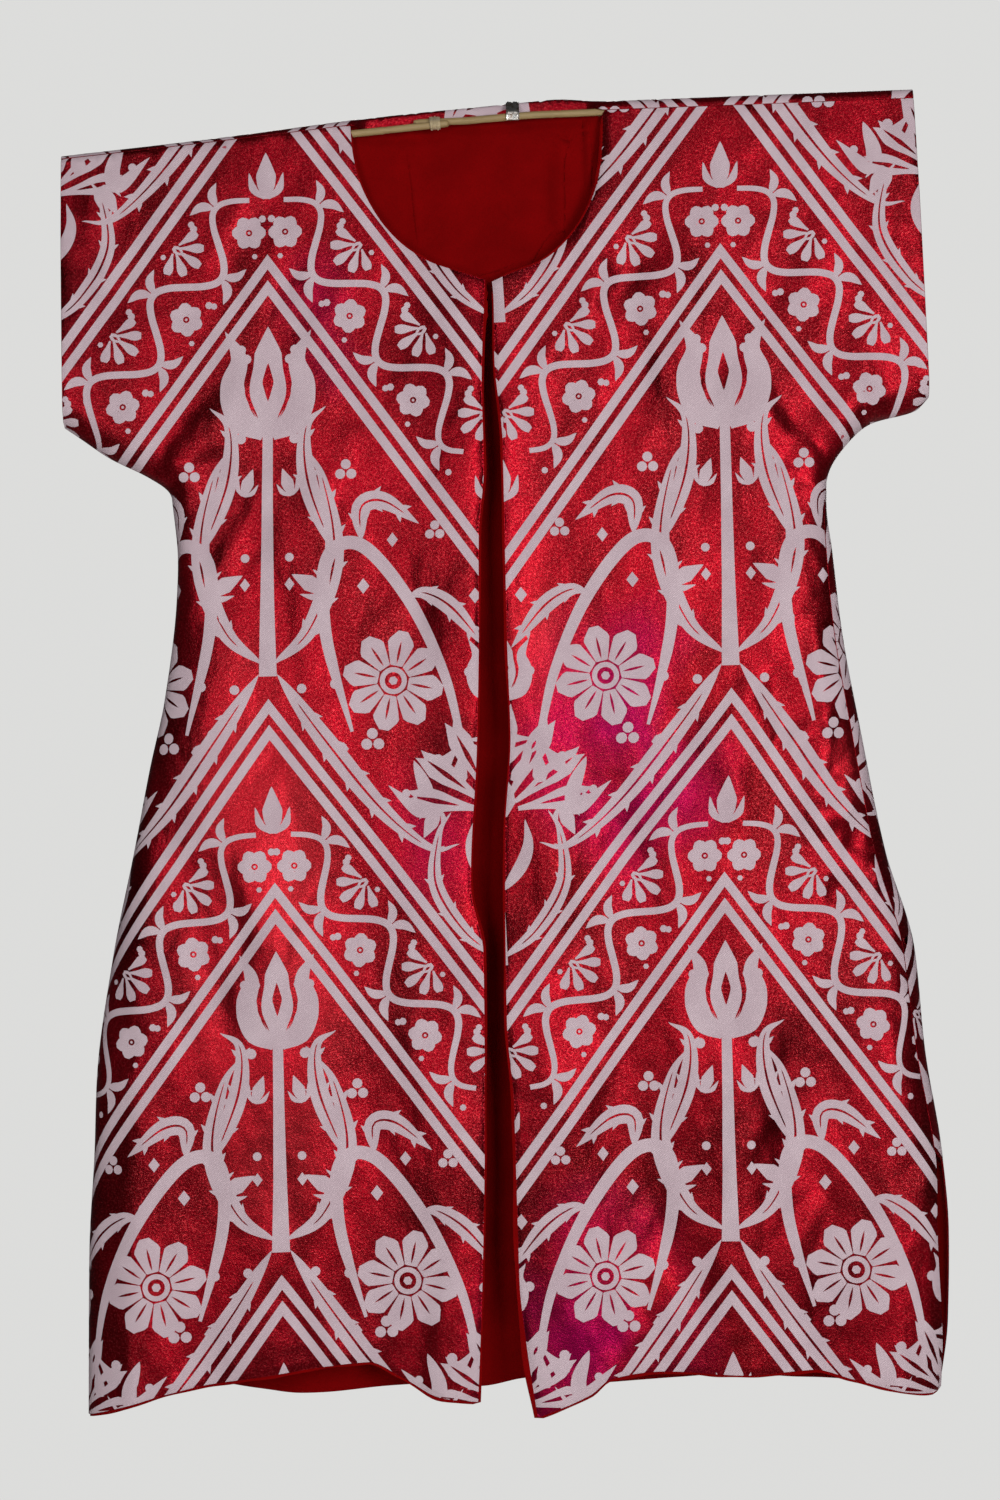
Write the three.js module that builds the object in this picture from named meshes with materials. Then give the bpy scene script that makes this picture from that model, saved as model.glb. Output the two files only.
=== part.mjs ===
// Short-sleeved talismanic shirt, open down the front, hung through its sleeves on
// two thin lashed sticks. Millimetres, +Z up, the front faces -Y, X to the viewer's
// right. The origin lies on the stick's axis at the shirt's centre line.
import * as THREE from 'three';

// ---------------------------------------------------------------- sizes
const CLOTH = { outer: 1.2, between: 0.3, lining: 1.0, seamGap: 0.3 };
const DATUM = -1.4;                    // the stick's axis stands 1.4 above the tables' zero
const WRAP = { radius: 8, fall: 9 };   // how the cloth turns over the sticks
const ROUND = { sleeve: 28, body: 46 };// width over which a side or sleeve edge turns

// top line of the cloth over the sticks; `seam` = how far below it the shoulder seam lies
const TOP_LEFT = [
  { x: -374, z: -24.0, seam: 3.0 },
  { x: -236, z: -11.3, seam: 3.4 },
  { x: -114, z: 2.0, seam: 5.0 },
];
const TOP_RIGHT = [
  { x: 113, z: 13.5, seam: 8.6 },
  { x: 250, z: 15.6, seam: 9.0 },
  { x: 392, z: 17.4, seam: 8.6 },
];
// neck: the back's top edge, folded forward behind the sticks.
// centre/half = where the fold lies in depth, flap = how far the folded edge comes down
const NECK_FOLD = [
  { x: -114, z: 2.0, centre: 0.0, half: 8.0, flap: 5.0 },
  { x: -110, z: 2.6, centre: 1.2, half: 7.2, flap: 3.4 },
  { x: -105, z: 3.4, centre: 5.6, half: 4.4, flap: 3.0 },
  { x: -98, z: 4.6, centre: 8.6, half: 3.2, flap: 7.0 },
  { x: -80, z: 6.6, centre: 9.9, half: 2.9, flap: 11.0 },
  { x: -38, z: 10.4, centre: 11.9, half: 2.9, flap: 11.0 },
  { x: 0, z: 12.8, centre: 10.8, half: 2.9, flap: 11.0 },
  { x: 32, z: 15.2, centre: 10.2, half: 2.9, flap: 12.0 },
  { x: 75, z: 18.0, centre: 9.9, half: 2.9, flap: 12.0 },
  { x: 98, z: 16.0, centre: 8.6, half: 3.2, flap: 8.0 },
  { x: 105, z: 14.9, centre: 5.4, half: 4.6, flap: 2.6 },
  { x: 110, z: 14.1, centre: 1.2, half: 7.0, flap: 5.0 },
  { x: 113, z: 13.5, centre: 0.0, half: 8.0, flap: 8.6 },
];
// neckline of the fronts, from the centre edge up to the shoulder seam
const NECK_LEFT = [
  { x: 3.6, z: -146 }, { x: -14, z: -140 }, { x: -45.5, z: -128.5 },
  { x: -72, z: -110 }, { x: -94, z: -82 }, { x: -108, z: -50 },
  { x: -113, z: -22 }, { x: -114, z: -3.0 },
];
const NECK_RIGHT = [
  { x: 10, z: -148 }, { x: 26, z: -141 }, { x: 53.5, z: -131 },
  { x: 76.5, z: -113.5 }, { x: 97, z: -85 }, { x: 108.5, z: -50 },
  { x: 112, z: -18 }, { x: 113, z: 4.9 },
];
// free centre edge of each front
const CENTRE_LEFT = [
  { z: -146, x: 3.6 }, { z: -250, x: -1.6 }, { z: -311, x: -1.3 }, { z: -375, x: -7.4 },
  { z: -467, x: -9.6 }, { z: -566, x: -13.8 }, { z: -690, x: -22 }, { z: -748, x: -12.4 },
  { z: -899, x: -14.8 }, { z: -1043, x: -20.4 }, { z: -1160, x: -27.5 },
];
const CENTRE_RIGHT = [
  { z: -148, x: 12.6 }, { z: -217, x: 10.5 }, { z: -293, x: 16 }, { z: -467, x: 15.6 },
  { z: -551, x: 16.7 }, { z: -648, x: 9.4 }, { z: -812, x: 7.2 }, { z: -884, x: 11.7 },
  { z: -1042, x: 12.8 }, { z: -1095, x: 17.3 }, { z: -1170, x: 27 },
];
// underside of each sleeve, from the underarm out to the cuff
const SLEEVE_LEFT = [
  { x: -282.8, z: -334 }, { x: -285, z: -329 }, { x: -302, z: -316 },
  { x: -338, z: -297 }, { x: -364, z: -278.5 }, { x: -377.5, z: -269 },
];
const SLEEVE_RIGHT = [
  { x: 306.5, z: -334 }, { x: 309, z: -325 }, { x: 319, z: -308.5 },
  { x: 347, z: -283 }, { x: 388, z: -272 }, { x: 399.6, z: -261 },
];
// outline of the body below the underarm; `inset` = how far the front's side seam
// lies inside the outline, because the back turns forward there
const SIDE_LEFT = [
  { z: -334, x: -282.8, inset: 0 }, { z: -388, x: -278.7, inset: 0 },
  { z: -424, x: -280.5, inset: 0 }, { z: -514, x: -293.4, inset: 0 },
  { z: -577, x: -308.5, inset: 0 }, { z: -648, x: -323.7, inset: 0 },
  { z: -747, x: -346, inset: 0 }, { z: -854, x: -363, inset: 0 },
  { z: -917, x: -366.5, inset: 0 }, { z: -1007, x: -373, inset: 0 },
  { z: -1155, x: -376.8, inset: 0 },
];
const SIDE_RIGHT = [
  { z: -334, x: 306.5, inset: 0 }, { z: -356, x: 306, inset: 2 },
  { z: -394, x: 310, inset: 6 }, { z: -466, x: 317, inset: 8 },
  { z: -565, x: 333, inset: 9.5 }, { z: -665, x: 351, inset: 11 },
  { z: -755, x: 375.5, inset: 12 }, { z: -846, x: 382.7, inset: 9 },
  { z: -936, x: 395.5, inset: 8 }, { z: -1008, x: 400.5, inset: 13 },
  { z: -1089, x: 398, inset: 8 }, { z: -1155, x: 388.5, inset: 0 },
];
const CUFF_LEFT = [{ z: -24, x: -374.2 }, { z: -152, x: -376.4 }, { z: -269, x: -377.5 }];
const CUFF_RIGHT = [{ z: 17.4, x: 392 }, { z: -81, x: 395 }, { z: -261, x: 399.6 }];
// lower edges
const HEM_LEFT = [
  { x: -377, z: -1154 }, { x: -277, z: -1129 }, { x: -196, z: -1118 }, { x: -124, z: -1111 },
  { x: -97, z: -1124 }, { x: -61, z: -1143 }, { x: -27, z: -1148 },
];
const HEM_RIGHT = [
  { x: 27, z: -1163 }, { x: 74, z: -1144 }, { x: 92, z: -1131 }, { x: 137, z: -1126 },
  { x: 218, z: -1130 }, { x: 272, z: -1127 }, { x: 308, z: -1137 }, { x: 380, z: -1152 },
  { x: 392, z: -1146 },
];
const HEM_BACK = [
  { x: -377, z: -1146 }, { x: -277, z: -1134 }, { x: -187, z: -1145 }, { x: -79, z: -1140 },
  { x: -25, z: -1144 }, { x: 20, z: -1137 }, { x: 74, z: -1142 }, { x: 209, z: -1138 },
  { x: 263, z: -1142 }, { x: 380, z: -1147 }, { x: 390, z: -1140 },
];
// how deep each side hangs in front of or behind the sticks, by the drop from the top line
const HANG = [
  { drop: 9, front: 8, back: 8 }, { drop: 60, front: 12, back: 10.5 },
  { drop: 150, front: 15.5, back: 13 }, { drop: 340, front: 19.5, back: 16 },
  { drop: 600, front: 25, back: 20 }, { drop: 900, front: 30, back: 24 },
  { drop: 1170, front: 34, back: 27 },
];
// side slits: how far each free edge stands off the middle plane
const VENT = [
  { z: -932, left: 0.0, right: 0.0 }, { z: -1010, left: 4, right: 2.5 },
  { z: -1160, left: 9, right: 5 },
];
// largest folds: a ridge (+) or trough (-) along a line, in panel "front" or "back"
const FOLDS = [
  { side: 'front', x0: -285, z0: -335, x1: -214, z1: -235, width: 15, height: 5 },
  { side: 'front', x0: -262, z0: -400, x1: -205, z1: -300, width: 15, height: -4 },
  { side: 'front', x0: -238, z0: -470, x1: -262, z1: -760, width: 26, height: 4 },
  { side: 'front', x0: -205, z0: -600, x1: -222, z1: -1140, width: 34, height: 5 },
  { side: 'front', x0: -112, z0: -640, x1: -110, z1: -1150, width: 30, height: -5 },
  { side: 'front', x0: -318, z0: -860, x1: -330, z1: -1150, width: 24, height: 5 },
  { side: 'front', x0: -14, z0: -190, x1: -28, z1: -520, width: 34, height: 6 },
  { side: 'front', x0: -120, z0: -180, x1: -96, z1: -420, width: 26, height: -3 },
  { side: 'front', x0: -40, z0: -900, x1: -52, z1: -1150, width: 22, height: 5 },
  { side: 'front', x0: 40, z0: -560, x1: 52, z1: -1160, width: 26, height: 5 },
  { side: 'front', x0: 118, z0: -520, x1: 128, z1: -1130, width: 30, height: -5 },
  { side: 'front', x0: 205, z0: -640, x1: 216, z1: -1130, width: 32, height: 5 },
  { side: 'front', x0: 292, z0: -820, x1: 300, z1: -1140, width: 26, height: -5 },
  { side: 'front', x0: 330, z0: -520, x1: 268, z1: -575, width: 13, height: 3.5 },
  { side: 'front', x0: 346, z0: -622, x1: 282, z1: -640, width: 13, height: 3.5 },
  { side: 'front', x0: 362, z0: -712, x1: 300, z1: -700, width: 13, height: -3.5 },
  { side: 'front', x0: 300, z0: -330, x1: 232, z1: -240, width: 16, height: 4 },
  { side: 'front', x0: 380, z0: -30, x1: 352, z1: -210, width: 18, height: 3 },
  { side: 'front', x0: 98, z0: -60, x1: 108, z1: -230, width: 16, height: 4 },
  { side: 'back', x0: -66, z0: -26, x1: -69, z1: -190, width: 9, height: 2.5 },
  { side: 'back', x0: 57, z0: -24, x1: 54, z1: -200, width: 11, height: 3.5 },
  { side: 'back', x0: -250, z0: -420, x1: -272, z1: -1130, width: 36, height: 5 },
  { side: 'back', x0: -150, z0: -520, x1: -158, z1: -1140, width: 32, height: -5 },
  { side: 'back', x0: -40, z0: -420, x1: -36, z1: -1140, width: 34, height: 5 },
  { side: 'back', x0: 74, z0: -480, x1: 84, z1: -1140, width: 32, height: -5 },
  { side: 'back', x0: 190, z0: -430, x1: 208, z1: -1140, width: 34, height: 5 },
  { side: 'back', x0: 298, z0: -560, x1: 320, z1: -1140, width: 28, height: -4 },
  { side: 'back', x0: -283, z0: -336, x1: -200, z1: -220, width: 16, height: 4 },
  { side: 'back', x0: 305, z0: -334, x1: 224, z1: -226, width: 16, height: 4 },
];

// ---------------------------------------------------------------- small helpers
const mix = (a, b, t) => a + (b - a) * t;
const clamp01 = (t) => Math.max(0, Math.min(1, t));
const smooth = (t) => { const c = clamp01(t); return c * c * (3 - 2 * c); };
// quarter-ellipse profile: 0 at the edge, 1 once `t` reaches 1
const turn = (t) => Math.sqrt(Math.max(0, 1 - (1 - clamp01(t)) ** 2));

/** Smooth reading of a table: column `value` at `at` in column `by`. */
function read(table, by, value, at) {
  const rows = table[0][by] < table[table.length - 1][by] ? table : [...table].reverse();
  if (at <= rows[0][by]) return rows[0][value];
  const last = rows.length - 1;
  if (at >= rows[last][by]) return rows[last][value];
  let k = 0;
  while (at > rows[k + 1][by]) k += 1;
  const slope = (i) => {
    if (i <= 0 || i >= last) return 0;
    const left = (rows[i][value] - rows[i - 1][value]) / (rows[i][by] - rows[i - 1][by]);
    const right = (rows[i + 1][value] - rows[i][value]) / (rows[i + 1][by] - rows[i][by]);
    return left * right <= 0 ? 0 : (2 * left * right) / (left + right);
  };
  const edge = (i) => (i === 0 || i === last
    ? (rows[Math.min(i + 1, last)][value] - rows[Math.max(i - 1, 0)][value])
      / (rows[Math.min(i + 1, last)][by] - rows[Math.max(i - 1, 0)][by])
    : slope(i));
  const h = rows[k + 1][by] - rows[k][by];
  const t = (at - rows[k][by]) / h;
  const m0 = edge(k) * h;
  const m1 = edge(k + 1) * h;
  return (2 * t ** 3 - 3 * t * t + 1) * rows[k][value] + (t ** 3 - 2 * t * t + t) * m0
    + (-2 * t ** 3 + 3 * t * t) * rows[k + 1][value] + (t ** 3 - t * t) * m1;
}

/** Point at fraction `f` of the length of a table of {x, z}. */
function along(table, f) {
  const lengths = [0];
  for (let i = 1; i < table.length; i += 1) {
    lengths.push(lengths[i - 1] + Math.hypot(table[i].x - table[i - 1].x, table[i].z - table[i - 1].z));
  }
  const target = f * lengths[lengths.length - 1];
  let k = 0;
  while (k < table.length - 2 && target > lengths[k + 1]) k += 1;
  const t = (target - lengths[k]) / (lengths[k + 1] - lengths[k]);
  return { x: mix(table[k].x, table[k + 1].x, t), z: mix(table[k].z, table[k + 1].z, t) };
}

function toSegment(x, z, a, b) {
  const dx = b.x - a.x;
  const dz = b.z - a.z;
  const t = clamp01(((x - a.x) * dx + (z - a.z) * dz) / (dx * dx + dz * dz));
  return Math.hypot(x - a.x - t * dx, z - a.z - t * dz);
}
const outlineOf = (sleeve, side) => [...sleeve].reverse().concat(side.slice(1));
const OUTLINES = [outlineOf(SLEEVE_LEFT, SIDE_LEFT), outlineOf(SLEEVE_RIGHT, SIDE_RIGHT)];

/** Distance from (x, z) to the turned edge (underside of sleeve, side of body). */
function toEdge(x, z) {
  const line = OUTLINES[x < 0 ? 0 : 1];
  let best = Infinity;
  for (let i = 1; i < line.length; i += 1) best = Math.min(best, toSegment(x, z, line[i - 1], line[i]));
  return best;
}

function topZ(x) {
  if (x <= -114) return read(TOP_LEFT, 'x', 'z', x);
  if (x >= 113) return read(TOP_RIGHT, 'x', 'z', x);
  return mix(2.0, 13.5, (x + 114) / 227);
}

function foldHeight(side, x, z) {
  let sum = 0;
  for (const f of FOLDS) {
    if (f.side !== side) continue;
    const dx = f.x1 - f.x0;
    const dz = f.z1 - f.z0;
    const len = Math.hypot(dx, dz);
    const t = ((x - f.x0) * dx + (z - f.z0) * dz) / (len * len);
    const off = Math.abs((x - f.x0) * dz - (z - f.z0) * dx) / len;
    const ends = smooth((t + 0.25) / 0.45) * (f.z1 < -1100 ? 1 : smooth((1.25 - t) / 0.45));
    sum += f.height * Math.exp(-((off / f.width) ** 2)) * ends;
  }
  return sum;
}

/** Stand-off of the cloth's outer face from the middle plane. */
function depth(side, x, z) {
  const drop = topZ(x) - z;
  const overStick = WRAP.radius * turn(drop / WRAP.fall);
  const hang = drop <= HANG[0].drop ? overStick : read(HANG, 'drop', side, drop);
  const reach = mix(ROUND.sleeve, ROUND.body, smooth((-z - 340) / 160));
  const edge = turn(toEdge(x, z) / reach);
  const open = z < VENT[0].z ? read(VENT, 'z', x < 0 ? 'left' : 'right', z) : 0;
  const folds = foldHeight(side, x, z) * smooth((drop - 14) / 50);
  return (hang + folds) * edge + open * (1 - edge);
}
const frontPoint = (x, z) => [x, -depth('front', x, z), z];
const backPoint = (x, z) => [x, depth('back', x, z), z];

/** Where the cloth lies as it turns over the top: q = 1 at its front end, 0 on top, -1 behind. */
function overTop(x, q, fold) {
  const { z, centre, half, flap } = fold;
  const fall = half >= 7.9 ? WRAP.fall : half * 1.1;
  if (q < 0) {
    const a = -q * Math.PI / 2;
    return [x, centre + half * Math.sin(a), z - fall * (1 - Math.cos(a))];
  }
  if (flap <= fall) {
    const a = q * Math.acos(1 - flap / fall);
    return [x, centre - half * Math.sin(a), z - fall * (1 - Math.cos(a))];
  }
  const a = Math.min(1, q / 0.55) * Math.PI / 2;
  const down = Math.max(0, (q - 0.55) / 0.45) * (flap - fall);
  return [x, centre - half * Math.sin(a), z - fall * (1 - Math.cos(a)) - down];
}
function foldAt(x) {
  if (x <= -114) return { z: topZ(x), centre: 0, half: 8, flap: read(TOP_LEFT, 'x', 'seam', x) };
  if (x >= 113) return { z: topZ(x), centre: 0, half: 8, flap: read(TOP_RIGHT, 'x', 'seam', x) };
  return {
    z: read(NECK_FOLD, 'x', 'z', x), centre: read(NECK_FOLD, 'x', 'centre', x),
    half: read(NECK_FOLD, 'x', 'half', x), flap: read(NECK_FOLD, 'x', 'flap', x),
  };
}

// ---------------------------------------------------------------- the sewn skin
// Points carry names; a point on a seam has one name, shared by both panels.
const points = new Map();
const put = (name, at) => { if (!points.has(name)) points.set(name, at); return name; };

const COLS = { neck: 5, even: 7, sleeve: 4 };          // even: columns up to the rounded edge
const TURN_STEPS = [38, 15, 4, 0];                      // distances from the edge
const BODY_COLS = COLS.even + TURN_STEPS.length - 1;    // 10
const UPPER = [0, 0.04, 0.13, 0.3, 0.5, 0.7, 0.86, 0.945, 0.987, 1];  // shoulder to underarm
const LOWER = [0.03, 0.09, 0.18, 0.29, 0.4, 0.51, 0.62, 0.73, 0.82, 0.91, 1]; // underarm to hem
const UNDERARM_ROW = UPPER.length - 1;
const VENT_ROW = UNDERARM_ROW + 8;
const LAST_ROW = UNDERARM_ROW + LOWER.length;
const UNDERARM_Z = -334;

const SIDES = {
  left: {
    sign: -1, top: TOP_LEFT, neck: NECK_LEFT, centre: CENTRE_LEFT, sleeve: SLEEVE_LEFT,
    side: SIDE_LEFT, cuff: CUFF_LEFT, hem: HEM_LEFT,
  },
  right: {
    sign: 1, top: TOP_RIGHT, neck: NECK_RIGHT, centre: CENTRE_RIGHT, sleeve: SLEEVE_RIGHT,
    side: SIDE_RIGHT, cuff: CUFF_RIGHT, hem: HEM_RIGHT,
  },
};

/** x of column i of a half, at height z below the underarm. `inner` = where column 0 is. */
function columnX(s, i, z, inner, inset) {
  const edge = read(s.side, 'z', 'x', z) - s.sign * inset;
  if (i >= COLS.even) return edge - s.sign * TURN_STEPS[i - COLS.even];
  return mix(inner, edge - s.sign * TURN_STEPS[0], i / COLS.even);
}
const insetAt = (s, z) => Math.max(0, read(s.side, 'z', 'inset', z));

/** Top point of a front's column: on the neckline, then on the shoulder seam. */
function frontTop(s, i) {
  if (i <= COLS.neck) return along(s.neck, i / COLS.neck);
  const neckX = s.neck[s.neck.length - 1].x;
  const armX = s.side[0].x;
  const x = mix(neckX, armX, (i - COLS.neck) / (BODY_COLS - COLS.neck));
  return { x, z: topZ(x) - read(s.top, 'x', 'seam', x) };
}
const seamPoint = (x) => overTop(x, 1, foldAt(x));

function sleevePoint(s, k, v) {
  const f = k / COLS.sleeve;
  const armX = s.side[0].x;
  const bottom = along(s.sleeve, f);
  const cuffTopX = s.top[s.sign < 0 ? 0 : s.top.length - 1].x;
  const topX = mix(armX, cuffTopX, f);
  const topHere = topZ(topX) - read(s.top, 'x', 'seam', topX);
  const z = mix(topHere, bottom.z, v);
  const x = f === 1 ? read(s.cuff, 'z', 'x', z) : mix(topX, bottom.x, v);
  return { x, z, topX };
}

/** The front panel of one side: a body grid and a sleeve grid meeting at the armhole. */
function frontPanel(label) {
  const s = SIDES[label];
  const body = [];
  for (let i = 0; i <= BODY_COLS; i += 1) {
    const top = frontTop(s, i);
    const column = [];
    const insetU = insetAt(s, UNDERARM_Z);
    const underX = columnX(s, i, UNDERARM_Z, read(s.centre, 'z', 'x', UNDERARM_Z), insetU);
    for (let j = 0; j <= UNDERARM_ROW; j += 1) {
      const v = UPPER[j];
      const z = mix(top.z, UNDERARM_Z, v);
      let x = mix(top.x, underX, smooth(v) * 0.5 + v * 0.5);
      if (i === 0) x = read(s.centre, 'z', 'x', z);
      if (j === 0 && i >= COLS.neck) {
        column.push(put(`${label}|shoulder|${i}`, seamPoint(top.x)));
      } else if (i === BODY_COLS && j === UNDERARM_ROW) {
        column.push(put(`${label}|side|${j}`, [x, 0, z]));
      } else column.push(put(`${label}|front|${i}|${j}`, frontPoint(x, z)));
    }
    const hemX = columnX(s, i, -1135, read(s.centre, 'z', 'x', -1150), insetAt(s, -1135));
    const hemZ = read(s.hem, 'x', 'z', hemX);
    for (let j = 0; j < LOWER.length; j += 1) {
      const row = UNDERARM_ROW + 1 + j;
      const z = mix(UNDERARM_Z, hemZ, LOWER[j]);
      const x = columnX(s, i, z, read(s.centre, 'z', 'x', z), insetAt(s, z));
      const name = i === BODY_COLS && row <= VENT_ROW ? `${label}|side|${row}` : `${label}|front|${i}|${row}`;
      column.push(put(name, frontPoint(x, z)));
    }
    body.push(column);
  }
  const sleeve = [body[BODY_COLS].slice(0, UNDERARM_ROW + 1)];
  for (let k = 1; k <= COLS.sleeve; k += 1) {
    const column = [];
    UPPER.forEach((v, j) => {
      const p = sleevePoint(s, k, v);
      if (j === 0) column.push(put(`${label}|shoulder|s${k}`, seamPoint(p.topX)));
      else if (j === UNDERARM_ROW) column.push(put(`${label}|underarm|${k}`, [p.x, 0, p.z]));
      else column.push(put(`${label}|frontsleeve|${k}|${j}`, frontPoint(p.x, p.z)));
    });
    sleeve.push(column);
  }
  return { name: `front_${label}`, patches: [body, sleeve], flip: s.sign < 0 };
}

/** The back in one piece: sleeves, shoulders, the folded neck edge and both sides. */
const OVER = [1, 0.7, 0.35, 0, -0.5, -1];              // rows that turn over the top
function backPanel() {
  const patches = [];
  const neckLeft = SIDES.left.neck[SIDES.left.neck.length - 1].x;
  const neckRight = SIDES.right.neck[SIDES.right.neck.length - 1].x;
  const rowsDown = (x0, name, underX, hemX0, edgeX, seamName, isSide) => {
    const fold = foldAt(x0);
    const column = OVER.map((q, r) => (r === 0 && seamName ? put(seamName, seamPoint(x0))
      : put(`${name}|over${r}`, overTop(x0, q, fold))));
    const start = overTop(x0, -1, fold);
    const extra = start[1] - depth('back', x0, start[2]);
    for (let j = 1; j <= UNDERARM_ROW; j += 1) {
      const z = mix(start[2], UNDERARM_Z, UPPER[j]);
      const x = mix(x0, underX, smooth(UPPER[j]) * 0.5 + UPPER[j] * 0.5);
      if (isSide && j === UNDERARM_ROW) column.push(put(isSide(UNDERARM_ROW), [x, 0, z]));
      else {
        const p = backPoint(x, z);
        p[1] += extra * Math.exp(-(start[2] - z) / 45);
        column.push(put(`${name}|${j}`, p));
      }
    }
    const hemZ = read(HEM_BACK, 'x', 'z', hemX0);
    for (let j = 0; j < LOWER.length; j += 1) {
      const row = UNDERARM_ROW + 1 + j;
      const z = mix(UNDERARM_Z, hemZ, LOWER[j]);
      column.push(put(isSide && isSide(row) ? isSide(row) : `${name}|${row}`, backPoint(edgeX(z), z)));
    }
    return column;
  };
  const half = (label) => {
    const s = SIDES[label];
    const cols = [];
    for (let i = COLS.neck; i <= BODY_COLS; i += 1) {
      const top = frontTop(s, i);
      const middle = 0;
      // on the wrapped side the outline itself is not the seam, so columns have no inset
      const edgeX = (z) => columnX(s, i, z, middle, 0);
      const isSide = i === BODY_COLS
        ? (row) => ((row <= VENT_ROW && (s.sign < 0 || row === UNDERARM_ROW)) ? `${label}|side|${row}` : '')
        : null;
      cols.push(rowsDown(top.x, `back|${label}|${i}`, edgeX(UNDERARM_Z), edgeX(-1135), edgeX,
        `${label}|shoulder|${i}`, isSide));
    }
    return cols;
  };
  const left = half('left').reverse();
  const right = half('right');
  const middle = [];
  for (let n = 1; n + 1 < NECK_FOLD.length; n += 1) {
    const x0 = NECK_FOLD[n].x;
    const f = mix(n / (NECK_FOLD.length - 1), (x0 - neckLeft) / (neckRight - neckLeft), 0.35);
    const edgeX = (z) => mix(columnX(SIDES.left, COLS.neck, z, 0, 0), columnX(SIDES.right, COLS.neck, z, 0, 0), f);
    middle.push(rowsDown(x0, `back|neck|${n}`, edgeX(UNDERARM_Z), edgeX(-1135), edgeX, '', null));
  }
  const body = [...left, ...middle, ...right];
  patches.push(body);
  const sleeveOf = (label, arm) => {
    const s = SIDES[label];
    const grid = [arm.slice(0, OVER.length + UNDERARM_ROW)];
    for (let k = 1; k <= COLS.sleeve; k += 1) {
      const topX = sleevePoint(s, k, 0).topX;
      const fold = foldAt(topX);
      const column = OVER.map((q, r) => (r === 0 ? put(`${label}|shoulder|s${k}`, seamPoint(topX))
        : put(`back|${label}sleeve|${k}|over${r}`, overTop(topX, q, fold))));
      for (let j = 1; j <= UNDERARM_ROW; j += 1) {
        const p = sleevePoint(s, k, UPPER[j]);
        const start = overTop(topX, -1, fold)[2];
        const bottom = sleevePoint(s, k, 1);
        const z = mix(start, bottom.z, UPPER[j]);
        column.push(j === UNDERARM_ROW ? put(`${label}|underarm|${k}`, [bottom.x, 0, bottom.z])
          : put(`back|${label}sleeve|${k}|${j}`, backPoint(p.x, z)));
      }
      grid.push(column);
    }
    return grid;
  };
  patches.push(sleeveOf('left', left[0]).reverse());
  patches.push(sleeveOf('right', right[right.length - 1]));
  // right side: the back turns forward round the outline to the side seam
  const s = SIDES.right;
  const silhouette = [];
  const between = [];
  const seam = [];
  const outer = right[right.length - 1];
  for (let row = UNDERARM_ROW; row <= VENT_ROW + 1; row += 1) {
    const name = outer[OVER.length - 1 + row];
    silhouette.push(name);
    const z = points.get(name)[2];
    if (row === UNDERARM_ROW || row === VENT_ROW + 1) { between.push(name); seam.push(name); continue; }
    const inset = insetAt(s, z);
    const x = read(s.side, 'z', 'x', z) - inset * 0.28;
    between.push(put(`back|wrap|${row}`, frontPoint(x, z)));
    seam.push(`right|side|${row}`);
  }
  patches.push([silhouette, between, seam]);
  return { name: 'back', patches, flip: true };
}

const PANELS = [frontPanel('left'), frontPanel('right'), backPanel()];

/** Triangles of a panel by point name, facing outward. */
function facesOf(panel) {
  const faces = [];
  for (const grid of panel.patches) {
    for (let c = 0; c + 1 < grid.length; c += 1) {
      for (let r = 0; r + 1 < grid[c].length; r += 1) {
        const [a, b, d, e] = [grid[c][r], grid[c + 1][r], grid[c + 1][r + 1], grid[c][r + 1]];
        const pair = (c + r) % 2 ? [[a, b, d], [a, d, e]] : [[a, b, e], [b, d, e]];
        for (const t of pair) {
          if (new Set(t).size < 3) continue;
          faces.push(panel.flip ? t : [t[0], t[2], t[1]]);
        }
      }
    }
  }
  return faces;
}
for (const panel of PANELS) panel.faces = facesOf(panel);

// one normal per named point, over all panels, so that the layers part evenly at seams
const normals = new Map();
const vec = (name) => new THREE.Vector3(...points.get(name));
for (const panel of PANELS) {
  for (const f of panel.faces) {
    const [a, b, c] = f.map(vec);
    const n = b.clone().sub(a).cross(c.clone().sub(a));
    for (const name of f) {
      if (!normals.has(name)) normals.set(name, new THREE.Vector3());
      normals.get(name).add(n);
    }
  }
}
for (const n of normals.values()) n.normalize();

/** Boundary edges of a panel, as directed name pairs. */
function rimOf(faces) {
  const seen = new Map();
  for (const f of faces) {
    for (let k = 0; k < 3; k += 1) {
      const [a, b] = [f[k], f[(k + 1) % 3]];
      if (seen.has(`${b}>${a}`)) seen.delete(`${b}>${a}`);
      else seen.set(`${a}>${b}`, [a, b]);
    }
  }
  return [...seen.values()];
}
const isSeam = (name) => /\|(shoulder|side|underarm)\|/.test(name);

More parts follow.
